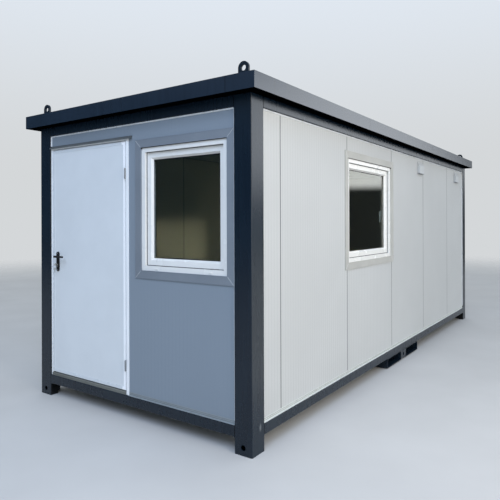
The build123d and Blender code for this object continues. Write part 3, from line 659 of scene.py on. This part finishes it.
def pick_edges(piece, **place):
    """Go into edit mode with only those edges selected whose two ends lie at the given x, y or z."""
    enter_edit(piece, "EDGE", "DESELECT")
    for edge in bmesh.from_edit_mesh(piece.data).edges:
        edge.select_set(all(abs(getattr(end.co, axis) - value) < 1e-4 for end in edge.verts
                            for axis, value in place.items()))
    bmesh.update_edit_mesh(piece.data)


def copy_of(piece, shift):
    """A copy with its own mesh, moved by shift."""
    only(piece)
    bpy.ops.object.duplicate()
    bpy.ops.transform.translate(value=shift)
    settle(bpy.context.object)
    return bpy.context.object


print("a quarter turn:", round(math.pi / 2, 4))


# %% Shaping
def round_edges(piece, width, segments=2, angle=40.0):
    """Round the edges that are sharper than the angle."""
    modifier = piece.modifiers.new("round", "BEVEL")
    modifier.width = width
    modifier.segments = segments
    modifier.limit_method = "ANGLE"
    modifier.angle_limit = math.radians(angle)
    bpy.context.view_layer.objects.active = piece
    bpy.ops.object.modifier_apply(modifier=modifier.name)


def bevelled_bar(name, low, high, offset, profile=0.5, **edge):
    """A box with one long edge bevelled off: the one whose two ends lie at the given x, y or z."""
    bar = start_box(name, low, high)
    pick_edges(bar, **edge)
    bpy.ops.mesh.bevel(offset=offset, segments=3, profile=profile, affect="EDGES")
    leave_edit()
    return bar


def ring(name, opening, inset, band, front, back):
    """A rectangular ring between two depths, set into an opening or, with an inset below 0, round it."""
    left, right, low, high = opening
    piece = start_box(name, (left + inset, front, low + inset), (right - inset, back, high - inset))
    pick_faces(piece, lambda normal: abs(normal.y) > 0.9)
    bpy.ops.mesh.inset(thickness=band)
    bpy.ops.mesh.bridge_edge_loops()
    leave_edit()
    return piece


def cut_below(piece, height):
    """Cut away what lies below a height and close the cut."""
    enter_edit(piece, "FACE", "SELECT")
    bpy.ops.mesh.bisect(plane_co=(0, 0, height), plane_no=(0, 0, 1), use_fill=True, clear_inner=True)
    leave_edit()


print("shapes: rounded edges, bars, rings and cuts")

# %% Handing over
HALF_WIDTH = 1.219
HALF_LENGTH = 3.029
SIDES = {"front": (0.0, 0, -HALF_LENGTH), "right": (math.pi / 2, HALF_WIDTH, 0),
         "back": (math.pi, 0, HALF_LENGTH), "left": (-math.pi / 2, -HALF_WIDTH, 0)}


def join(pieces, name):
    """Join pieces into the first one."""
    only(pieces[0])
    for piece in pieces:
        piece.select_set(True)
    if len(pieces) > 1:
        bpy.ops.object.join()
    pieces[0].name = name
    pieces[0].data.name = name
    return pieces[0]


def dress(piece, material, body="cabin"):
    """Give the piece its finish, and let it move with its body."""
    piece.data.materials.clear()
    piece.data.materials.append(material)
    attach(piece, body)


def hand_over(piece, material, side="front", body="cabin"):
    """Turn the piece to its side of the cabin, smooth it and dress it."""
    turn, x, y = SIDES[side]
    piece.rotation_euler = (0, 0, turn)
    piece.location = (x, y, 0)
    settle(piece)
    bpy.ops.object.shade_smooth_by_angle(angle=math.radians(30))
    dress(piece, material, body)


print("sides:", sorted(SIDES))

# %% [markdown]
# Some small parts need finishes of their own: the rubber of the seals, black or grey, the white sealant that
# closes the walls to the posts, and a weld, which is a row of overlapping ripples under the same paint.
# Rubber is dull and a little bloomed with age. Sealant is smoother, with the ripples of the tool.


# %% Rubber, sealant and weld
def rubber_seal(name, base, bloomed):
    material, tree, shader, where = new_material(name)
    fill(shader, Base_Color=clouded(tree, where, base, bloomed, 30, 4.0)[0], Roughness=0.6,
         Normal=grained(tree, where, 1.5, 0.03))
    return material


def tooled_sealant(name, clean, dirty):
    material, tree, shader, where = new_material(name)
    fill(shader, Base_Color=clouded(tree, where, clean, dirty, 90, 5.0, (0.45, 0.8))[0], Roughness=0.42,
         Normal=grained(tree, where, 14, 0.6))
    return material


def painted_weld(name, base, worn):
    material, tree, shader, where = new_material(name)
    ripples = add(tree, "TexWave", where, give="Fac", wave_type="BANDS", bands_direction="X",
                  wave_profile="SAW", Scale=per_metre(4) / 20, Distortion=1.2)
    fill(shader, Base_Color=clouded(tree, where, base, worn, 20, 3.0)[0], Roughness=0.34,
         Normal=add(tree, "Bump", Height=ripples, Distance=0.0008))
    return material


rubber = rubber_seal("extruded_black_epdm_rubber", "0e0f10", "1c1d1e")
grey_rubber = rubber_seal("extruded_grey_tpe_seal", "6a7071", "7d8382")
sealant = tooled_sealant("tooled_white_sealant", "d6d9da", "bfc1bd")
weld_paint = painted_weld("anthracite_paint_on_weld", "1b2730", "26313a")
print("small parts' finishes:", [finish.name for finish in (rubber, grey_rubber, sealant, weld_paint)])

# %% [markdown]
# Where a wall meets a post or the top rail, the fitter pulls a bead of white sealant along the corner and
# smooths it with a wet finger. It is the thin bright line round every wall, and its white also stands in
# for the highlight along the wall's folded edges, as painted highlight. A bead is a bar with one long
# edge bevelled off, which leaves the hollow slope of the tool. A curve with a profile would do as well, but
# the runs are straight, and a bar has fewer faces.

# %% Sealant beads round the walls
WALL_FACE = 0.015
BEAD = 0.009
WALL_TOP = 2.394
FLASHING_TOP = 0.224
DOOR_HEAD = 2.303
POST_INNER = {"front": 1.069, "right": 2.879, "back": 1.069, "left": 2.879}


def bead(low, high, **edge):
    """A bead against the wall, between two ends given as x and z."""
    outer = WALL_FACE - BEAD
    return bevelled_bar("bead", (low[0], outer, low[1]), (high[0], WALL_FACE, high[1]), BEAD * 0.7,
                        profile=0.35, y=outer, **edge)


# Partly sealant, partly painted highlight: a white line round every wall.
for side, reach in POST_INNER.items():
    foot = DOOR_HEAD if side == "front" else FLASHING_TOP
    free = reach - BEAD
    beads = [bead((-reach, foot), (-free, WALL_TOP), x=-free),
             bead((free, FLASHING_TOP), (reach, WALL_TOP), x=free),
             bead((-free, WALL_TOP - BEAD), (free, WALL_TOP), z=WALL_TOP - BEAD)]
    hand_over(join(beads, side + "_wall_sealant"), sealant, side)
print("sealant:", BEAD * 1000, "mm beads on", len(POST_INNER), "walls")

# %% [markdown]
# A black rubber seal is pressed in between the glass and the window's sash. It shows as a dark line round the
# pane. It is a ring: the front and back of a box are inset by the seal's width, and the two inner faces are
# bridged into an opening, so its corners are mitred as the real seal's are.

# %% Glazing seals
FRAME_FLANGE = 0.015
GLASS_LINE = 0.098
GLASS_FACE = 0.062
GLASS_BACK = 0.086
SEAL_WIDTH = 0.0045
SEAL_PROUD = 0.0025


def window_opening(name, along):
    """Left, right, low and high of a window, in its wall's own terms."""
    low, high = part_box(name + "_window_frame")
    return (low[along] + FRAME_FLANGE, high[along] - FRAME_FLANGE, low[2] + FRAME_FLANGE,
            high[2] - FRAME_FLANGE)


WINDOWS = {"front": ("front", window_opening("front", 0), shaded_trim),
           "side": ("right", window_opening("side", 1), finishes["window_trim"])}
for name, (side, opening, trim) in WINDOWS.items():
    for face, front, back in (("outer", GLASS_FACE - SEAL_PROUD, GLASS_FACE),
                              ("inner", GLASS_BACK, GLASS_BACK + SEAL_PROUD)):
        seal = ring(name + "_window_seal_" + face, opening, GLASS_LINE, SEAL_WIDTH, front, back)
        round_edges(seal, 0.001)
        hand_over(seal, rubber, side)
    print(name, "window opening:", [round(value, 3) for value in opening])

# %% [markdown]
# A second seal, of the same black rubber, lies between the fixed frame and the sash. From outside it is the
# thin line where the sash disappears behind the frame's lip. A strip of the same rubber lies between the
# frame and the head of the folded trim, as painted shade: it shows there as the dark line of the shade under
# the trim. Both are rings too. The strip's lower part is cut away, so that only its corners turn down a
# little.

# %% Sash seals and painted shade strips under the trims
SHADE_STRIP_TURN = 0.012
OUTER_RINGS = {  # inset, width, front, back, rounding and slot
    "window_seal_sash": (0.0385, 0.004, 0.037, 0.041, 0.0012, "window_plastic"),
    "window_trim_shade_strip": (0.0, 0.0035, 0.0105, 0.020, 0.0008, "window_trim"),
}
for part, (inset, width, front, back, rounding, slot) in OUTER_RINGS.items():
    for name, (side, opening, trim) in WINDOWS.items():
        piece = ring(name + "_" + part, opening, inset, width, front, back)
        # Painted shade: a black strip in the reveal under the trim's head, for the shade the trim casts on
        # the frame.
        if part == "window_trim_shade_strip":
            cut_below(piece, opening[3] - SHADE_STRIP_TURN)
        round_edges(piece, rounding)
        hand_over(piece, rubber, side)
print("outer rings at each window:", len(OUTER_RINGS))

# %% [markdown]
# Rain that gets behind the sash's seal runs out through slots in the bottom of the frame. Each slot has a
# small push-in cap with an open underside. The cap is a box with its front slanted back at the top, hollowed
# from below by an inset and an extrude. The second cap is its copy.

# %% Drain caps under the windows
CAP_SIZE = (0.034, 0.005, 0.011)
CAP_FROM_CORNER = 0.16
CAP_RISE = 0.012
CAP_SLANT = 0.003
CAP_WALL = 0.0009
CAP_HOLLOW = 0.005
FRAME_FACE = 0.020
for name, (side, (left, right, low, high), trim) in WINDOWS.items():
    base = low + CAP_RISE
    along = left + CAP_FROM_CORNER
    cap = start_box("cap", (along - CAP_SIZE[0] / 2, FRAME_FACE - CAP_SIZE[1], base),
                    (along + CAP_SIZE[0] / 2, FRAME_FACE, base + CAP_SIZE[2]))
    pick_edges(cap, y=FRAME_FACE - CAP_SIZE[1], z=base + CAP_SIZE[2])
    bpy.ops.transform.translate(value=(0, CAP_SLANT, 0))
    leave_edit()
    pick_faces(cap, lambda normal: normal.z < -0.9)
    bpy.ops.mesh.inset(thickness=CAP_WALL)
    bpy.ops.mesh.extrude_region_move(TRANSFORM_OT_translate={"value": (0, 0, CAP_HOLLOW)})
    leave_edit()
    caps = [cap, copy_of(cap, (right - left - 2 * CAP_FROM_CORNER, 0, 0))]
    hand_over(join(caps, name + "_window_drain_caps"), finishes["window_plastic"], side)
print("drain caps:", 2 * len(WINDOWS))

# %% [markdown]
# Blind rivets hold the folded trims, the drip flashing and the base flashings. A rivet is a flat dome some
# 7 mm across with the stub of its mandrel sunk in the middle: a short cylinder whose outer face is inset,
# pushed out and inset again. One is modelled for each line, and the others are its copies.

# %% Blind rivets
RIVET_RADIUS = 0.0036


def row_of_rivets(first, last, spacing):
    """A rivet that stands on a wall at a place, and its copies towards the last place, evenly spaced."""
    first, last = Vector(first), Vector(last)
    head = start_disc("rivet", first - Vector((0, 0.0006, 0)), RIVET_RADIUS, 0.0012, 12)
    pick_faces(head, lambda normal: normal.y < -0.9)
    bpy.ops.mesh.inset(thickness=RIVET_RADIUS * 0.45)
    bpy.ops.transform.translate(value=(0, -0.0008, 0))
    bpy.ops.mesh.inset(thickness=RIVET_RADIUS * 0.25)
    bpy.ops.transform.translate(value=(0, 0.0006, 0))
    leave_edit()
    count = max(1, round((last - first).length / spacing))
    return [head] + [copy_of(head, (last - first) * step / count) for step in range(1, count + 1)]


TRIM_FACE = 0.009
TRIM_MIDDLE = 0.050
TRIM_RIVETS = 0.30
for name, (side, (left, right, low, high), trim) in WINDOWS.items():
    heads = []
    for z in (low - TRIM_MIDDLE, high + TRIM_MIDDLE):
        heads += row_of_rivets((left, TRIM_FACE, z), (right, TRIM_FACE, z), TRIM_RIVETS)
    for x in (left - TRIM_MIDDLE, right + TRIM_MIDDLE):
        heads += row_of_rivets((x, TRIM_FACE, low), (x, TRIM_FACE, high), TRIM_RIVETS)
    hand_over(join(heads, name + "_window_trim_rivets"), trim, side)
    print(name, "window rivets:", len(heads))

# %% [markdown]
# The trim is folded from sheet steel. Its cut edges are turned back on themselves into hems, which stand a
# little proud, stiffen the strip and hide the sharp edge. The four strips meet in mitres at the corners,
# and a thread of sealant closes each mitre. The hems are two rings, one at each edge of the strip, and a
# thread is a thin bar turned by 45 degrees.

# %% Hems and mitres of the window trims
TRIM_BAND = 0.065
HEM = 0.004
HEM_PROUD = 0.0012
THREAD = (0.0004, 0.0011)
for name, (side, opening, trim) in WINDOWS.items():
    hems = [ring("hem", opening, -out, HEM, TRIM_FACE - HEM_PROUD, TRIM_FACE) for out in (TRIM_BAND, HEM)]
    for hem in hems:
        round_edges(hem, 0.0005)
    hand_over(join(hems, name + "_window_trim_hems"), trim, side)
    left, right, low, high = opening
    threads = []
    half = (TRIM_BAND - 2 * HEM) / math.sqrt(2) - 0.001
    for x, across in ((left, -1), (right, 1)):
        for z, up in ((low, -1), (high, 1)):
            middle = (x + across * TRIM_BAND / 2, TRIM_FACE - THREAD[0], z + up * TRIM_BAND / 2)
            thread = start_box("thread", (middle[0] - half, middle[1] - THREAD[0], middle[2] - THREAD[1]),
                               (middle[0] + half, TRIM_FACE, middle[2] + THREAD[1]))
            round_edges(thread, 0.0004)
            enter_edit(thread, "FACE", "SELECT")
            bpy.ops.transform.rotate(value=math.radians(45) * across * up, orient_axis="Y",
                                     center_override=middle)
            leave_edit()
            threads.append(thread)
    hand_over(join(threads, name + "_window_trim_mitres"), sealant, side)
print("hems:", 2 * len(WINDOWS), "rings, mitres:", 4 * len(WINDOWS))

# %% [markdown]
# The base flashings are riveted to the walls every half metre, just under their upper edge, and the drip
# flashing over the door every quarter. They are the same rivets in other lines. On the front the line starts
# beside the door.

# %% Rivets of the flashings
FLASHING_RIVETS = 0.5
DRIP_RIVETS = 0.25
ROW_MARGIN = 0.12
BESIDE_DOOR = 0.03
UNDER_EDGE = 0.012
DRIP_LINE = ((-1.02, WALL_FACE - 0.002, 2.296), (-0.02, WALL_FACE - 0.002, 2.296))
for side, reach in POST_INNER.items():
    begin = BESIDE_DOOR if side == "front" else -reach + ROW_MARGIN
    first = (begin, WALL_FACE - 0.0015, FLASHING_TOP - UNDER_EDGE)
    heads = row_of_rivets(first, (reach - ROW_MARGIN, *first[1:]), FLASHING_RIVETS)
    hand_over(join(heads, side + "_base_flashing_rivets"), finishes["flashing"], side)
heads = row_of_rivets(*DRIP_LINE, DRIP_RIVETS)
hand_over(join(heads, "door_drip_flashing_rivets"), drip_steel)
print("rivets on the drip flashing:", len(heads))

# %% [markdown]
# Two small hoods high on the long wall cover vents. Each hood is open below, and a dark mesh in the opening
# keeps insects out. The mesh is a grid: every cell is inset on its own, the middles are deleted, and what is
# left is given a thickness. Its holes are 6 mm wide, where real mesh has 2 mm, to keep the faces few.

# %% Meshes of the vent hoods
VENT_MIDDLES = (0.680, 2.470)
VENT_BOTTOM = 2.203
VENT_INNER = (0.1855, 0.0240)
mesh = start("vent_mesh", bpy.ops.mesh.primitive_grid_add, (*VENT_INNER, 1.0), size=1.0,
             x_subdivisions=24, y_subdivisions=3,
             location=(VENT_MIDDLES[0], WALL_FACE - 0.002 - VENT_INNER[1] / 2, VENT_BOTTOM + 0.004))
enter_edit(mesh, "FACE", "SELECT")
bpy.ops.mesh.inset(thickness=0.0009, use_individual=True)
bpy.ops.mesh.delete(type="FACE")
leave_edit()
wall = mesh.modifiers.new("thickness", "SOLIDIFY")
wall.thickness = 0.0012
bpy.ops.object.modifier_apply(modifier=wall.name)
meshes = [mesh, copy_of(mesh, (VENT_MIDDLES[1] - VENT_MIDDLES[0], 0, 0))]
hand_over(join(meshes, "vent_meshes"), rubber, "right")
print("vent meshes:", len(VENT_MIDDLES))

# %% [markdown]
# ## The door
# A hollow rubber seal is clipped to the frame's stop behind the leaf. The leaf presses it flat when it shuts.
# It runs up both jambs and along the head, so the ring's lower strip is cut off.

# %% Door seal
LEAF_EDGES = (-1.044, -0.055, 0.228, 2.262)
STOP_FACE = 0.062
STOP_SEAL_INSET = 0.003
STOP_SEAL_WIDTH = 0.013
STOP_SEAL_DEPTH = 0.0045
STOP_SEAL_FOOT = 0.004
BELOW_LEAF = 0.023
left, right, low, high = LEAF_EDGES
seal = ring("door_seal", (left, right, low - BELOW_LEAF, high), STOP_SEAL_INSET, STOP_SEAL_WIDTH,
            STOP_FACE - STOP_SEAL_DEPTH, STOP_FACE)
cut_below(seal, low + STOP_SEAL_FOOT)
round_edges(seal, 0.0015, segments=3)
hand_over(seal, rubber)
print("door seal:", [round(value, 3) for value in seal.dimensions])

# %% [markdown]
# A narrow strip of grey rubber fills most of the slit beside the hinges, where the leaf turns in front of its
# frame. It is the thin line between the two bright strips, partly a seal and partly painted shade for the
# slit's own shade. Its free edge is bevelled to a lip, which is all the shape that shows.

# %% Lip seal beside the hinges
LIP_PLACE = (-0.0542, -0.0485)
LIP_DEPTHS = (0.0165, 0.0215)
# Partly seal, partly painted shade: a grey strip that darkens the slit beside the hinges.
lip = bevelled_bar("door_lip_seal", (LIP_PLACE[0], LIP_DEPTHS[0], low + 0.004),
                   (LIP_PLACE[1], LIP_DEPTHS[1], high - 0.003), 0.002, x=LIP_PLACE[0], y=LIP_DEPTHS[0])
hand_over(lip, grey_rubber)
print("lip seal:", [round(value, 4) for value in lip.dimensions])

# %% [markdown]
# The lock's faceplate is let into the leaf's edge, with the sprung latch above and the bolt below, and a
# strike plate on the frame faces it. They only show when the door is open. The latch is a box whose outer end
# is slanted, so that it slides in when the door is pushed shut.

# %% Faceplate and strike plate
LEAF_EDGE = LEAF_EDGES[0]
JAMB_FACE = -1.051
LOCK_MIDDLE = 0.0345
LOCK_PARTS = {"faceplate": (0.001, 0.010, 1.110, 1.345), "latch": (0.005, 0.006, 1.272, 1.306),
              "bolt": (0.0022, 0.005, 1.180, 1.215)}


def lock_part(name):
    """A box on the leaf's edge: how far it stands out, half its width, and its two ends."""
    proud, half, low, high = LOCK_PARTS[name]
    return start_box(name, (LEAF_EDGE - proud, LOCK_MIDDLE - half, low),
                     (LEAF_EDGE, LOCK_MIDDLE + half, high))


plate, latch, bolt = [lock_part(name) for name in LOCK_PARTS]
round_edges(plate, 0.0004, segments=1)
round_edges(bolt, 0.0006)
pick_edges(latch, x=LEAF_EDGE - LOCK_PARTS["latch"][0], y=LOCK_MIDDLE + LOCK_PARTS["latch"][1])
bpy.ops.transform.translate(value=(0.0035, 0, 0))
leave_edit()
lock = join([plate, latch, bolt], "door_lock_faceplate")
hand_over(lock, finishes["hinge_steel"], body="door")
strike = start_box("door_strike_plate", (JAMB_FACE, LOCK_MIDDLE - 0.011, 1.120),
                   (JAMB_FACE + 0.0008, LOCK_MIDDLE + 0.011, 1.335))
pick_faces(strike, lambda normal: normal.x > 0.9)
bpy.ops.mesh.inset(thickness=0.004)
bpy.ops.transform.translate(value=(-0.0005, 0, 0))
leave_edit()
hand_over(strike, finishes["hinge_steel"])
print("faceplate:", [round(value, 3) for value in lock.dimensions])

# %% [markdown]
# The key was left in the lock. Its bow is a flat disc with a hole, seen edge-on from in front of the door and
# full from the side, and a wire ring with a second key hangs from it. The bow's hole is made as the window
# rings are: both faces are inset and bridged.

# %% Key in the lock
LEVER_X = -0.970
LOCK_HEIGHT = 1.217
LOCK_FACE = 0.003
KEY_THICKNESS = 0.0022


def key_bow(middle, radius):
    """A flat bow with a hole, standing in the YZ plane, and its centre at middle."""
    bow = start_disc("bow", middle, radius, KEY_THICKNESS, 24, ALONG_WALL)
    pick_faces(bow, lambda normal: abs(normal.x) > 0.9)
    bpy.ops.mesh.inset(thickness=radius * 0.62)
    bpy.ops.mesh.bridge_edge_loops()
    leave_edit()
    round_edges(bow, 0.0004, segments=1)
    return bow


bow = key_bow((LEVER_X, LOCK_FACE - 0.022, LOCK_HEIGHT), 0.0115)
shank = start_box("shank", (LEVER_X - KEY_THICKNESS / 2, LOCK_FACE - 0.013, LOCK_HEIGHT - 0.004),
                  (LEVER_X + KEY_THICKNESS / 2, LOCK_FACE + 0.006, LOCK_HEIGHT + 0.004))
round_edges(shank, 0.0005, segments=1)
hanging_bow = key_bow((LEVER_X - 0.004, LOCK_FACE - 0.024, LOCK_HEIGHT - 0.040), 0.0105)
blade = start_box("blade", (LEVER_X - 0.0051, LOCK_FACE - 0.028, LOCK_HEIGHT - 0.074),
                  (LEVER_X - 0.0029, LOCK_FACE - 0.020, LOCK_HEIGHT - 0.048))
pick_faces(blade, lambda normal: normal.z < -0.9)
bpy.ops.transform.resize(value=(1.0, 0.4, 1.0))
leave_edit()
wire = start("wire", bpy.ops.mesh.primitive_torus_add, major_radius=0.019, minor_radius=0.0008,
             major_segments=32, minor_segments=8, rotation=(0, math.pi / 2, math.radians(12)),
             location=(LEVER_X - 0.002, LOCK_FACE - 0.0255, LOCK_HEIGHT - 0.019))
key = join([bow, shank, hanging_bow, blade, wire], "door_key")
hand_over(key, finishes["lock_steel"], body="door")
print("key:", [round(value, 3) for value in key.dimensions])

# %% [markdown]
# Each lever plate is held by two screws with a domed head and a round socket. The outer face of a disc is
# inset and pushed out into a dome, and a second inset is sunk as the socket.

# %% Plate screws
PLATE_DEPTHS = {"outer": (0.006, -1), "inner": (0.063, 1)}
PLATE_MIDDLE = 1.2435
SCREW_REACH = 0.074
for name, (depth, way) in PLATE_DEPTHS.items():
    head = start_disc("screw", (LEVER_X, depth + way * 0.0008, PLATE_MIDDLE + SCREW_REACH), 0.0045, 0.0016,
                      20)
    pick_faces(head, lambda normal: normal.y * way > 0.9)
    bpy.ops.mesh.inset(thickness=0.0018)
    bpy.ops.transform.translate(value=(0, way * 0.0009, 0))
    bpy.ops.mesh.inset(thickness=0.0012)
    bpy.ops.mesh.extrude_region_move(TRANSFORM_OT_translate={"value": (0, -way * 0.0012, 0)})
    leave_edit()
    heads = [head, copy_of(head, (0, 0, -2 * SCREW_REACH))]
    hand_over(join(heads, "door_plate_screws_" + name), finishes["hinge_steel"], body="door")
print("plate screws:", 2 * len(PLATE_DEPTHS))

# %% [markdown]
# ## Frame and roof
# The lifting eyes are welded on. A fillet weld fills the corner between the eye and the post's top plate with
# a slope of about 6 mm: a bar with its free long edge bevelled off. The ripples of the torch are left to its
# material, as they are too fine to model. The welds are made in the cabin's own place, so nothing turns them.

# %% Welds at the lifting eyes
FRAME_TOP = 2.545
WELD_LEG = 0.007
WELD_BEVEL = WELD_LEG * 0.8
EYE_HALF = 0.044
EYE_THICKNESS = 0.015
EYE_FROM_SIDE = 0.075
EYE_FROM_END = 0.014
welds = []
for x_way in (-1, 1):
    for y_way in (-1, 1):
        x = x_way * (HALF_WIDTH - EYE_FROM_SIDE)
        face = y_way * (HALF_LENGTH - EYE_FROM_END)
        for edge, way in ((face, y_way), (face - y_way * EYE_THICKNESS, -y_way)):
            free = edge + way * WELD_LEG
            near, far = sorted((edge, free))
            welds.append(bevelled_bar("weld", (x - EYE_HALF, near, FRAME_TOP),
                                      (x + EYE_HALF, far, FRAME_TOP + WELD_LEG), WELD_BEVEL,
                                      y=free, z=FRAME_TOP + WELD_LEG))
dress(join(welds, "lifting_eye_welds"), weld_paint)
print("welds at the lifting eyes:", len(welds))

# %% [markdown]
# The bottom rails are welded to the posts all round. The run under each rail end fills the corner between
# the rail's underside and the post. The fork pockets are welded to the long rails in the same way.

# %% Welds under the rails
RAIL_BOTTOM = 0.111
RAIL_DEPTH = 0.075
POCKET_END = 0.508
WELD_ENDS = 0.004


def rail_weld(corner, way, face, axis):
    """A weld across the underside of a rail, in the corner that an upright face makes with it."""
    free = corner + way * WELD_LEG
    inner, outer = sorted((face, face - math.copysign(RAIL_DEPTH, face)))
    near, far = sorted((corner, free))
    low, high = [near, inner + WELD_ENDS], [far, outer - WELD_ENDS]
    if axis == "y":
        low.reverse()
        high.reverse()
    under = RAIL_BOTTOM - WELD_LEG
    return bevelled_bar("weld", (*low, under), (*high, RAIL_BOTTOM), WELD_BEVEL, z=under, **{axis: free})


welds = []
for across in (-1, 1):
    for along in (-1, 1):
        welds += [rail_weld(across * POST_INNER["front"], -across, along * HALF_LENGTH, "x"),
                  rail_weld(along * POST_INNER["right"], -along, across * HALF_WIDTH, "y"),
                  rail_weld(along * POCKET_END, along, across * HALF_WIDTH, "y")]
dress(join(welds, "bottom_rail_welds"), weld_paint)
print("welds under the rails:", len(welds))

# %% [markdown]
# The roof sheet is screwed down along its edges and along the middle, in the valleys beside its ribs, by
# hexagon-head screws that each have a domed washer. One is modelled with as few faces as it needs and copied.

# %% Roof screws
ROOF_LEVEL = 2.5465
RIB_PITCH = 0.250
RIBS = 24
SCREW_COLUMNS = (-1.12, -0.4, 0.4, 1.12)


def roof_screw(x, y, z):
    """A washer with a hexagon head on it."""
    washer = start_disc("washer", (x, y, z + 0.0008), 0.008, 0.0016, 12, UPRIGHT)
    pick_faces(washer, lambda normal: normal.z > 0.9)
    bpy.ops.mesh.inset(thickness=0.003)
    bpy.ops.transform.translate(value=(0, 0, 0.0008))
    leave_edit()
    head = start_disc("head", (x, y, z + 0.0045), 0.0046, 0.0055, 6, UPRIGHT)
    pick_faces(head, lambda normal: normal.z > 0.9)
    bpy.ops.mesh.bevel(offset=0.0006, segments=1, affect="EDGES")
    leave_edit()
    return join([washer, head], "roof_screw")


first = roof_screw(SCREW_COLUMNS[0], RIB_PITCH * (1 - RIBS / 2), ROOF_LEVEL)
places = [(x - SCREW_COLUMNS[0], row * RIB_PITCH, 0) for x in SCREW_COLUMNS for row in range(RIBS - 1)]
screws = [first] + [copy_of(first, place) for place in places[1:]]
dress(join(screws, "roof_sheet_screws"), finishes["galvanised_sheet"])
print("roof screws:", len(screws))
